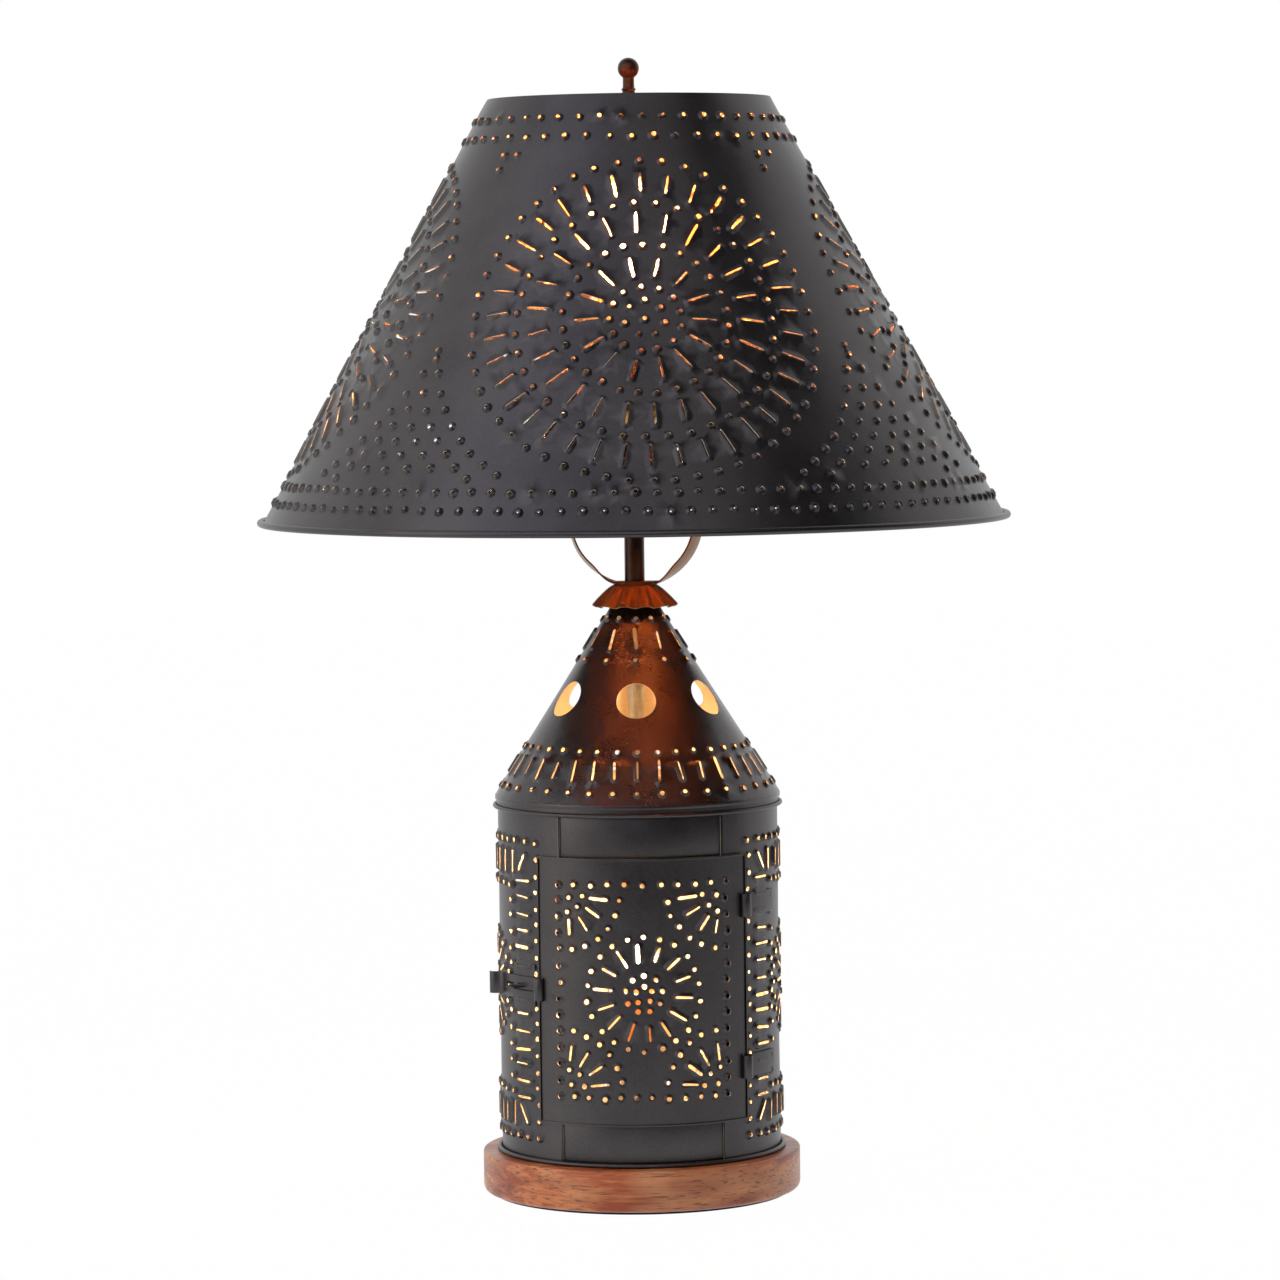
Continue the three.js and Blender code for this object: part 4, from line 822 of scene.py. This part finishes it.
bands = {"radius": 79.55, "thick": 0.6, "ends": (-38.0, 40.0), "sill": (26.2, 54.0), "head": (196.0, 228.0)}
for place in ("sill", "head"):
    band = wallBar(bands["radius"], bands["thick"], *bands["ends"], *bands[place])
    tinPiece(f"{place}_strip", band, f"{place}_band")

# the wall's edges beside its opening, and the door's four edges, are folded over
folds = {"thick": 0.6, "width": 0.75, "wall": 80.85, "doorFace": 82.95, "hem": 1.1, "short": 0.3, "step": 0.4}


def makeFolds(f):
    thick, w, hem = f["thick"], f["width"], f["hem"]
    (left, right), foot, top = lantern["opening"], lantern["foot"] + f["short"], lantern["top"] - f["short"]
    edges = [wallBar(f["wall"], thick, a, a + s * w, foot, top, f["step"])
             for a, s in ((left, -1), (right, 1))]
    tinPiece("wall_folds", joined(*edges), "lantern_shell")
    (left, right), foot, top = door["edges"], door["foot"], door["top"]
    sides = [wallBar(f["doorFace"], thick, a, a + s * w, foot, top, f["step"])
             for a, s in ((left, 1), (right, -1))]
    ends = [wallBar(f["doorFace"], thick, left + w, right - w, z, z + hem) for z in (foot, top - hem)]
    tinPiece("door_folds", joined(*sides, *ends), "door_panel", "door")


makeFolds(folds)

# each is its inner edge, its beaded edge (centre, radius and turn of the bead) and its top
beaded = {"floor_tray": ("lantern_floor", [[5.1, 25.55]], (82.05, 26.9, 1.35, -90, 180),
                         [[80.7, 26.15], [5.1, 26.15]]),
          "roof_rim_bead": ("roof_rim", [[80.6, 223.6]], (82.2, 224.8, 1.2, -140, 140),
                            [[81.2, 230.6], [80.6, 230.6]])}
for name, (node, start, bead, end) in beaded.items():
    tinPiece(name, turned(np.concatenate([start, arcPoints(*bead, 14), end]), 200), node)

hinge = {"angle": 46.227, "reach": 83.803, "loop": 2.903, "thick": 0.6, "leaf": 81.2, "leafThick": 1.2,
         "leafEnds": (47.2, 68.7), "half": 6.5, "heights": {"upper": 171.3, "lower": 79.3}}
for place, z in hinge["heights"].items():
    low, high = z - hinge["half"], z + hinge["half"]
    leaf = wallBar(hinge["leaf"], hinge["leafThick"], *hinge["leafEnds"], low, high, round=0.35)
    loop = loopBar(hinge["reach"], hinge["angle"], hinge["loop"], hinge["thick"], low, high)
    tinPiece(f"strap_{place}", joined(leaf, loop), f"hinge_strap_{place}")

# ring: reach, angle and radius of its loop; flare and lip: radius and turn of the two bends at its end
hasp = {"height": 125.0, "half": 6.3, "thick": 0.6, "slotHalf": 1.8, "slot": (-46.8, -66.6), "strap": 82.15,
        "end": -70.0, "start": -44.4, "ring": (83.564, -43.0, 2.564), "flare": (4.5, 80), "lip": (3.0, 90)}


def makeHasp(h):
    z, thick, slotHalf = h["height"], h["thick"], h["slotHalf"]
    low, high = z - h["half"], z + h["half"]
    near, far = h["slot"]
    shapes = [loopBar(*h["ring"], thick, low, high), wallBar(h["strap"], thick, h["start"], near, low, high)]
    shapes += [wallBar(h["strap"], thick, near + 0.01, far - 0.01, *ends)
               for ends in ((low, z - slotHalf), (z + slotHalf, high))]
    # beyond the slot the strip bends away from the wall and its end curls back
    strip = onWall(h["strap"], np.linspace(far, h["end"], 4))[0][:, :2]
    heading = h["end"] - 180.0
    (flareRadius, flareTurn), (lipRadius, lipTurn) = h["flare"], h["lip"]
    centre = onWall(h["strap"] + flareRadius, np.array([h["end"]]))[0][0, :2]
    flare = arcPoints(*centre, flareRadius, heading - 90, heading - 90 + flareTurn, 12)[1:]
    lipAngle = heading + flareTurn - 90
    centre = flare[-1] + lipRadius * polar(1, np.radians(lipAngle))
    lip = arcPoints(*centre, lipRadius, lipAngle + 180, lipAngle + 180 - lipTurn, 12)[1:]
    path = np.concatenate([strip, flare, lip])
    shapes.append(carried(*flatPath(*path.T, "xy"), barSection(thick, low, high, 0.12)))
    return tinPiece("hasp_strap", joined(*shapes), "door_hasp", "hasp")


makeHasp(hasp)

staple = {"radius": 80.9, "ends": (-61.8, -47.0), "half": 13.5, "height": 125.0, "angle": -57.5, "width": 9.0,
          "thick": 0.6, "tongue": (80.9, 87.9)}


def makeStaple(s):
    z, w, t = s["height"], s["width"] / 2, s["thick"]
    plate = wallBar(s["radius"], t, *s["ends"], z - s["half"], z + s["half"], round=0.25)
    out = onWall(1.0, np.array([s["angle"]]))[0][0]
    path = np.linspace(*s["tongue"], 6)[:, None] * out
    side, up = np.tile([-out[1], out[0], 0.0], (6, 1)), np.tile([0.0, 0.0, 1.0], (6, 1))
    tongue = carried(path, side, up, softened(box(-w, w, z - t / 2, z + t / 2), 0.15, 3))
    return tinPiece("staple_plate", joined(plate, tongue), "hasp_staple")


makeStaple(staple)

# Collar and ring handle
collarCap = {"bore": 5.1, "top": 350.6, "plate": 12.6, "edge": 24.0, "drop": 11.6, "flutes": 12, "wave": 1.5,
             "thick": 0.6, "around": 240}


def makeCollar(c):
    # height falls with a power of the way out, and a cosine in the angle grows towards the edge
    t = np.concatenate([[0, 0], np.linspace(0, 1, 15)])
    radius = np.concatenate([[c["bore"], c["plate"] - 2], c["plate"] + (c["edge"] - c["plate"]) * t[2:]])
    height = c["top"] - c["drop"] * t ** 1.25
    setBack = np.append(0.6 * c["thick"] * np.ones(len(t) - 1), 0)
    t, radius = np.append(t, t[::-1]), np.append(radius, radius[::-1] - setBack)
    height = np.append(height, height[::-1] - c["thick"])
    angle = np.linspace(0, 2 * np.pi, c["around"], endpoint=False)[:, None]
    lobe = -np.cos(c["flutes"] * angle)
    wave = c["wave"] * (lobe - 0.35 * (lobe ** 2 - 0.5)) * t
    points = roundAxis(radius + wave, angle, height + 0.4 * wave).reshape(-1, 3)
    faces = gridTriangles(c["around"], len(t), closeRows=True, closeColumns=True)
    return tinPiece("collar_cap", (points, outward(points, faces)), "scalloped_cap", look=brownTinPaintedGlow)


makeCollar(collarCap)

# flat and ease: degrees from the seat where the circle is drawn out and where that has died out;
# lift: where the upper end begins to step inside the lower one, and over how many degrees
ring = {"bottom": 350.65, "radius": 37.7, "thick": 1.0, "half": 6.5, "flare": 0.27, "turn": -9.0,
        "flat": 18.0, "ease": 26, "seat": 12.5, "cut": 0.23, "lift": (300, 45), "liftShare": 0.995}


def makeRing(g):
    # one strip from its lower end at the left, once round the circle, to its upper end at the
    # right; near the seat the circle is drawn out flat, and the far edge stands wider than the near
    seatAngle = np.degrees(np.arctan(g["seat"] / g["radius"]))
    a = np.linspace(-seatAngle, 360 + seatAngle, 220)
    fromSeat = np.abs((a + 180) % 360 - 180)
    away = np.clip((fromSeat - g["flat"]) / g["ease"], 0, 1)
    blend = 1 - away ** 2 * (3 - 2 * away)
    liftStart, liftLength = g["lift"]
    lift = np.clip((a - liftStart) / liftLength, 0, 1)
    drawn = 1 / np.cos(np.radians(np.minimum(fromSeat, g["flat"]))) - 1
    r = (g["radius"] - g["thick"] / 2) * (1 + drawn * blend) - g["thick"] * lift * g["liftShare"]
    rad = np.radians(a)
    path, across, up = flatPath(r * np.sin(rad), g["bottom"] + g["radius"] - r * np.cos(rad), "xz")
    section = barSection(g["thick"], -g["half"], g["half"], 0.2)
    points = swept(path, across, up, section)
    wide = g["flare"] * (1 - blend)[:, None] * section[None, :, 1] * np.sign(up[0, 1])
    points = points + wide[..., None] * cols(np.sin(rad), 0, -np.cos(rad))[:, None]
    ends = np.zeros(len(a))
    ends[[0, -1]] = -1, 1
    points[..., 0] += ends[:, None] * g["cut"] * section[None, :, 1]
    m = len(section)
    faces = np.concatenate([gridTriangles(len(a), m, closeColumns=True), *endFans(m, (len(a) - 1) * m)])
    t = np.radians(g["turn"])
    c, s = np.cos(t), np.sin(t)
    points = points.reshape(-1, 3) @ np.array([[c, s, 0], [-s, c, 0], [0, 0, 1]])
    return tinPiece("ring_strip", (points, outward(points, faces)), "ring_handle", look=brownTinPaintedGlow)


makeRing(ring)


# Turned parts
def threadRidge(low, high, radius, depth, pitch):
    # a cosine of the height takes the radius in by the depth once a pitch, at six points a pitch
    z = np.linspace(low, high, int((high - low) / pitch * 6))
    return cols(radius - depth * (0.5 - 0.5 * np.cos(2 * np.pi * (z - low) / pitch)), z)


base = {"radius": 91.5, "foot": 1.55, "top": 25.5, "bore": 5.1, "recess": (20.0, 13.5),
        "rounds": [0, 0.2, 0.6, 4.5, 1.6, 0.2], "channel": (4.4, 10.0), "run": (15.0, 100.0)}


def makeBase(b):
    bore, radius, foot, top = b["bore"], b["radius"], b["foot"], b["top"]
    r, z = b["recess"]
    profile = [[bore, z], [r, z], [r, foot], [radius, foot], [radius, top], [bore, top]]
    shape = turned(softened(profile, b["rounds"], 6), 240)
    piece = addPiece("turned_base", shape, "lamp", [baseWood], ["wood_base"])
    channelRadius, channelHeight = b["channel"]
    path = cols(0.0, np.array(b["run"]), channelHeight)
    across, up = np.tile([1.0, 0, 0], (2, 1)), np.tile([0, 0, 1.0], (2, 1))
    points, faces = carried(path, across, up, disc(channelRadius, 32))
    tool = bpy.data.meshes.new("channelTool")
    tool.from_pydata((points / 1000).tolist(), [], faces.tolist())
    cutter = bpy.data.objects.new("channelTool", tool)
    scene.collection.objects.link(cutter)
    channel = piece.modifiers.new("channel", "BOOLEAN")
    channel.operation, channel.object, channel.solver = "DIFFERENCE", cutter, "EXACT"
    cutMesh = bpy.data.meshes.new_from_object(piece.evaluated_get(bpy.context.evaluated_depsgraph_get()))
    piece.modifiers.clear()
    piece.data = cutMesh
    bpy.data.objects.remove(cutter)
    piece.data.set_sharp_from_angle(angle=np.radians(40))
    return piece


makeBase(base)

turnedParts = {
    "felt_pad": dict(node="base_felt", slot="felt", look=pressedFelt, sides=160, round=0.4,
                     profile=box(0, 85.5, 0, 1.5)),
    "roof_neck_washer": dict(node="neck_washer", slot="steel", look=zincSteel, round=0.2,
                             profile=box(5.1, 11.0, 344.4, 345.9)),
    "riser_pipe": dict(node="riser_tube", slot="bronze", look=rubbedBronze, round=0.25, sides=48,
                       profile=box(5.1, 5.75, 352.7, 432.0)),
    "socket_cup": dict(node="socket_cap", slot="brass", look=spunBrass, round=0.8, profile=[
        [5.1, 433.5], [7.5, 433.5], [7.5, 438.0], [12.24, 441.49], [16.15, 447.13], [17, 451], [17, 457],
        [16.2, 457], [16.2, 451], [15.35, 447.6], [11.44, 442.43], [5.1, 438.8]]),
    "socket_core_block": dict(node="socket_core", slot="phenolic", look=mouldedPhenolic, round=0.3, profile=[
        [0, 474.5], [13.4, 474.5], [13.4, 494.5], [14.6, 494.5], [14.6, 454.0], [0, 454.0]]),
    "finial_knob": dict(node="finial", slot="bronze", look=rubbedBronze, body="finial", round=0.7, profile=[
        [0, 630.65], [3.3, 630.65], [3.3, 622.8], [8.2, 622.8], [8.2, 624.3], [6.3, 626.8], [4.9, 629.3],
        [4.2, 631.1], [3.3, 632.9], [4.4, 633.9], [3.3, 634.9], *arcPoints(0, 645.9, 6.1, -58.5, 90, 18)]),
    "night_holder": dict(node="night_socket", slot="phenolic", look=tanPhenolic, round=0.4, profile=[
        [1.7, 80.5], [3.5, 80.5], [3.5, 89.45], [10.5, 89.45], [10.5, 119.95], [9.5, 121.95], [6.3, 121.95],
        [6.3, 105.95], [1.7, 105.95]], at=(0, -32)),
}
for name, p in turnedParts.items():
    points, faces = turned(softened(p["profile"], p["round"]), p.get("sides", 64))
    points = points + np.array([*p.get("at", (0, 0)), 0])
    addPiece(name, (points, faces), p.get("body", "lamp"), [p["look"]], [p["node"]], sharp=50)

sleeves = {"profile": box(1.9, 3.1, 440.0, 452.0), "reach": 33.5}
for side, sign in (("left", -1), ("right", 1)):
    points, faces = turned(softened(sleeves["profile"], 0.4), 32)
    addPiece(f"sleeve_{side}", (points + [sign * sleeves["reach"], 0, 0], faces), f"ferrule_{side}",
             [rubbedBronze], [f"harp_ferrule_{side}"])

harpShape = {"wire": 1.6, "foot": 446.15, "reach": 33.5, "straight": 24.0, "bulge": 51.0, "top": 621.05,
             "block": (6.5, 4.0), "stud": (3.05, 9.0), "pitch": 0.94}


def makeHarp(h):
    foot, reach, bulge, top = h["foot"], h["reach"], h["bulge"], h["top"]
    (blockRadius, deep), (studRadius, studHeight) = h["block"], h["stud"]
    crown = top - deep / 2
    rise, bend = crown - foot, foot + h["straight"]
    # up one side: straight through the ferrule, out to the bulge and in again to the crown
    right = [[reach, foot], [reach, foot + h["straight"] / 2], [reach, bend - 1], [reach + 0.9, bend + 7],
             [bulge - 2, foot + rise * 0.42], [bulge, foot + rise * 0.6], [bulge * 0.72, foot + rise * 0.86],
             [bulge * 0.3, crown - 1.6]]
    control = np.array(right + [[0, crown]] + [[-x, z] for x, z in right[::-1]])
    wire = carried(*flatPath(*splinePoints(control, 160).T, "xz"), disc(h["wire"], 14))
    block = turned(softened(box(0, blockRadius, top - deep, top), 0.6), 48)
    thread = threadRidge(top - 1, top + studHeight, studRadius, 0.25, h["pitch"])
    stud = turned(np.concatenate([[[0, top - 1]], thread, [[0, top + studHeight]]]), 32)
    shape = joined(wire, block, stud)
    return addPiece("harp_wire", shape, "harp", [rubbedBronze], ["harp"], sharp=50)


makeHarp(harpShape)

# thread: depth and pitch; strands: count, foot and head reach, foot and head height, wire radius;
# stem: radius, foot and head height
bulbs = {
    "upper": dict(at=(0, 0), foot=474.7, tip=4.5, radius=13.1, height=25.5, thread=(0.6, 3.63),
                  glass=500.25, glassHeight=84.0, glassRadius=30.0, neck=12.6, wall=1.0, glow=upperGlow,
                  strands=(4, 4.5, 7.0, 528.0, 571.0, 0.8), stem=(2.6, 505.0, 560.0)),
    "night": dict(at=(0, -32), foot=106.15, tip=1.8, radius=5.95, height=15.5, thread=(0.35, 2.6),
                  glass=121.7, glassHeight=37.0, glassRadius=10.8, neck=5.6, wall=0.8, glow=nightGlow,
                  strands=(2, 1.6, 2.0, 131.0, 146.0, 0.6), stem=(1.2, 123.0, 141.0)),
}


def globeProfile(b):
    # the glass follows a smooth curve through the widths of a pear, and the inside is set in by the wall
    t = np.array([0, 0.06, 0.3, 0.5, 0.62, 0.76, 0.9, 0.975, 1.0])
    w = np.array([0, 0, 0.36, 0.8, 1.0, 0.95, 0.62, 0.18, 0])
    low, high, widest = b["glass"], b["glass"] + b["glassHeight"], b["glassRadius"]
    r = b["neck"] + (widest - b["neck"]) * w
    r[-2:] = [widest * 0.3, 0]
    curve = splinePoints(cols(r, low + b["glassHeight"] * t), 48).clip([0, low], [widest, high])
    curve[-1] = [0, high]
    inside = cols((curve[:, 0] - b["wall"]).clip(0), curve[:, 1] - np.linspace(0, b["wall"] * 0.8, 48))
    inside[-1, 0] = 0
    inside[0, 1] = low
    return np.concatenate([inside[::-1], curve])


def makeBulb(name, b):
    def add(kind, shape, look, sharp, replaces=()):
        shape = shape[0] + [*b["at"], 0.0], shape[1]
        addPiece(f"{name}_{kind}", shape, f"{name}_bulb", [look], replaces, sharp=sharp)

    foot, radius, crown, shoulder = b["foot"], b["radius"], b["foot"] + b["height"], b["foot"] + b["tip"]
    tip = shoulder - b["tip"] / 3
    start = [[0, foot], [radius * 0.35, foot], [radius * 0.5, tip], [radius - 0.6, shoulder]]
    end = [[radius - 0.1, crown - 1], [radius - 0.1, crown], [0, crown]]
    screw = np.concatenate([start, threadRidge(shoulder + 1, crown - 2, radius, *b["thread"]), end])
    add("screw_base", turned(screw, 64), spunBrass, 60, [f"{name}_bulb_base"])
    add("globe", turned(globeProfile(b), 64), clearGlass, 70, [f"{name}_bulb_glass"])
    count, foot, head, low, high, wire = b["strands"]
    rows = []
    for k in range(count):
        angle = k * 2 * np.pi / count + 0.6
        out = np.array([np.cos(angle), np.sin(angle), 0])
        step = out * (head - foot) + [0, 0, high - low]
        path = np.linspace(0, 1, 9)[:, None] * step + out * foot + [0, 0, low]
        rows.append(carried(path, np.tile(out, (9, 1)), np.tile([-out[1], out[0], 0], (9, 1)), disc(wire, 8)))
    add("filament", joined(*rows), b["glow"], 60)
    r, low, high = b["stem"]
    stem = [[0, low], [r * 1.6, low], [r * 0.7, (low + high) / 2], [r * 0.5, high], [0, high]]
    add("stem", turned(softened(stem, [0, 0.4, 2, 0.4, 0]), 24), clearGlass, 60)


for name, settings in bulbs.items():
    makeBulb(name, settings)
print("turned parts made")

# CAD pieces that keep their shape
kept = {
    mouldedPhenolic: ["cord_bushing", "switch_knob"],
    zincSteel: ["base_washer", "base_locknut", "centre_rod", "floor_locknut", "candle_bracket",
                "bracket_locknut_lower", "bracket_locknut_upper", "night_socket_nut", "neck_locknut",
                "shade_rim_wire"],
    spunBrass: ["socket_shell"],
    pressedCard: ["socket_liner"],
    extrudedVinyl: ["night_lead"],
    rubbedBronze: ["harp_saddle"],
    smokedTin: ["shade_top_hem", "shade_spider"],
}
for look, names in kept.items():
    for name in names:
        for place in nodes[name].material_slots:
            place.material = look

# Camera, lights and floor
camera = {"place": (0.0026, -2.99, 0.512), "pitch": 3.7, "roll": 0.72, "lens": 146.5, "sensor": 36.0}


def makeCamera(c):
    pitch, roll = np.radians(c["pitch"]), np.radians(c["roll"])
    forward = Vector((0, np.cos(pitch), -np.sin(pitch)))
    level, upright = Vector((1, 0, 0)), Vector((0, np.sin(pitch), np.cos(pitch)))
    right = level * np.cos(roll) - upright * np.sin(roll)
    up = level * np.sin(roll) + upright * np.cos(roll)
    data = bpy.data.cameras.new("camera")
    data.lens, data.sensor_width, data.clip_end = c["lens"], c["sensor"], 50.0
    view = bpy.data.objects.new("camera", data)
    rows = [[right[k], up[k], -forward[k], c["place"][k]] for k in range(3)]
    view.matrix_world = Matrix(rows + [[0, 0, 0, 1]])
    scene.collection.objects.link(view)
    scene.camera = view


makeCamera(camera)
scene.view_settings.view_transform = "Standard"

# soft lamps, each aimed at the lamp's middle: place and size in metres, power in watts
lights = {"highLeft": dict(place=(-1.0, -0.75, 1.9), size=1.3, power=6, colour="#eef0ff"),
          "leftSide": dict(place=(-1.9, -0.9, 0.6), size=1.1, power=4.5, colour="#fff0e0"),
          "front": dict(place=(-0.1, -2.3, 1.45), size=1.5, power=11, colour="#f2f2ff"),
          "highRight": dict(place=(0.45, -1.35, 2.1), size=1.4, power=4.5, colour="#f6f2f4"),
          "rightSide": dict(place=(1.9, -1.0, 0.7), size=0.9, power=1.2, colour="#ffe0c0")}
aim = Vector((0, 0, 0.35))
for name, l in lights.items():
    data = bpy.data.lights.new(name, "AREA")
    data.shape, data.size, data.energy, data.color = "SQUARE", l["size"], l["power"], linear(l["colour"])[:3]
    lamp = bpy.data.objects.new(name, data)
    lamp.location = l["place"]
    lamp.rotation_euler = (aim - Vector(l["place"])).to_track_quat("-Z", "Y").to_euler()
    scene.collection.objects.link(lamp)


def seenRays(tree):
    # 1 for rays that the camera, a reflection or clear glass sees, 0 for those that only light
    path = addNode(tree, "LightPath", {}).outputs
    seen = combined(tree, "MAXIMUM", path["Is Camera Ray"], path["Is Glossy Ray"])
    return combined(tree, "MAXIMUM", seen, path["Is Transmission Ray"])


surround = {"backdrop": "#ffffff", "light": "#ffffff", "strength": 0.55}
world = bpy.data.worlds.new("studio")
scene.world = world
world.use_nodes = True
tree = world.node_tree
tree.nodes.clear()
lit = addNode(tree, "Background", {"Color": linear(surround["light"]), "Strength": surround["strength"]})
shown = addNode(tree, "Background", {"Color": linear(surround["backdrop"]), "Strength": 1.0})
mixed = addNode(tree, "MixShader", {0: seenRays(tree), 1: lit.outputs[0], 2: shown.outputs[0]})
addNode(tree, "OutputWorld", {"Surface": mixed.outputs[0]})


def paper(name, colour, lift=0.0):
    # matt paper; with a lift, the camera and reflections see it nearly at its full white
    material, tree, shader, place = newFinish(name)
    fibre = noise(tree, place, 3, Detail=2.0)
    fill(tree, shader, {"Base Color": linear(colour), "Roughness": 0.9,
                        "Normal": bumped(tree, fibre, 0.1, 0.0003)})
    if lift:
        white = addNode(tree, "Emission", {"Color": (1, 1, 1, 1), "Strength": 1.0})
        share = combined(tree, "MULTIPLY", seenRays(tree), lift)
        both = addNode(tree, "MixShader", {0: share, 1: shader.outputs[0], 2: white.outputs[0]})
        fill(tree, tree.nodes["Material Output"], {"Surface": both.outputs[0]})
    return material


def stageSheet(name, corners, material, shown):
    mesh = bpy.data.meshes.new(name)
    mesh.from_pydata(corners, [], [tuple(range(len(corners)))])
    mesh.materials.append(material)
    sheet = bpy.data.objects.new(name, mesh)
    sheet.visible_camera = shown
    scene.collection.objects.link(sheet)


floor = {"colour": "#fbfbfa", "radius": 6.0, "height": -0.0002, "lift": 0.99}
corners = [(x, y, floor["height"]) for x, y in disc(floor["radius"], 64)]
stageSheet("studio_floor", corners, paper("studioFloorPaper", floor["colour"], floor["lift"]), True)
# dark cards behind, above, below and to the right of the camera, outside its view, keep the white
# surroundings out of the tin's reflections, as they do on a photographer's table (metres)
wide, back, front, rightFront, near, low, high = 1.8, -3.4, 0.5, 0.1, -0.9, 0.001, 2.5
cards = {"card_behind": [(-wide, back, 0), (wide, back, 0), (wide, back, high), (-wide, back, high)],
         "card_above": [(-wide, back, high), (wide, back, high), (wide, front, high), (-wide, front, high)],
         "card_right": [(wide, back, 0), (wide, rightFront, 0), (wide, rightFront, high), (wide, back, high)],
         "card_below": [(-wide, back, low), (wide, back, low), (wide, near, low), (-wide, near, low)]}
darkCard = paper("studioDarkCard", "#4c4a4b")
for name, corners in cards.items():
    stageSheet(name, corners, darkCard, False)
print("camera, lights and floor made")
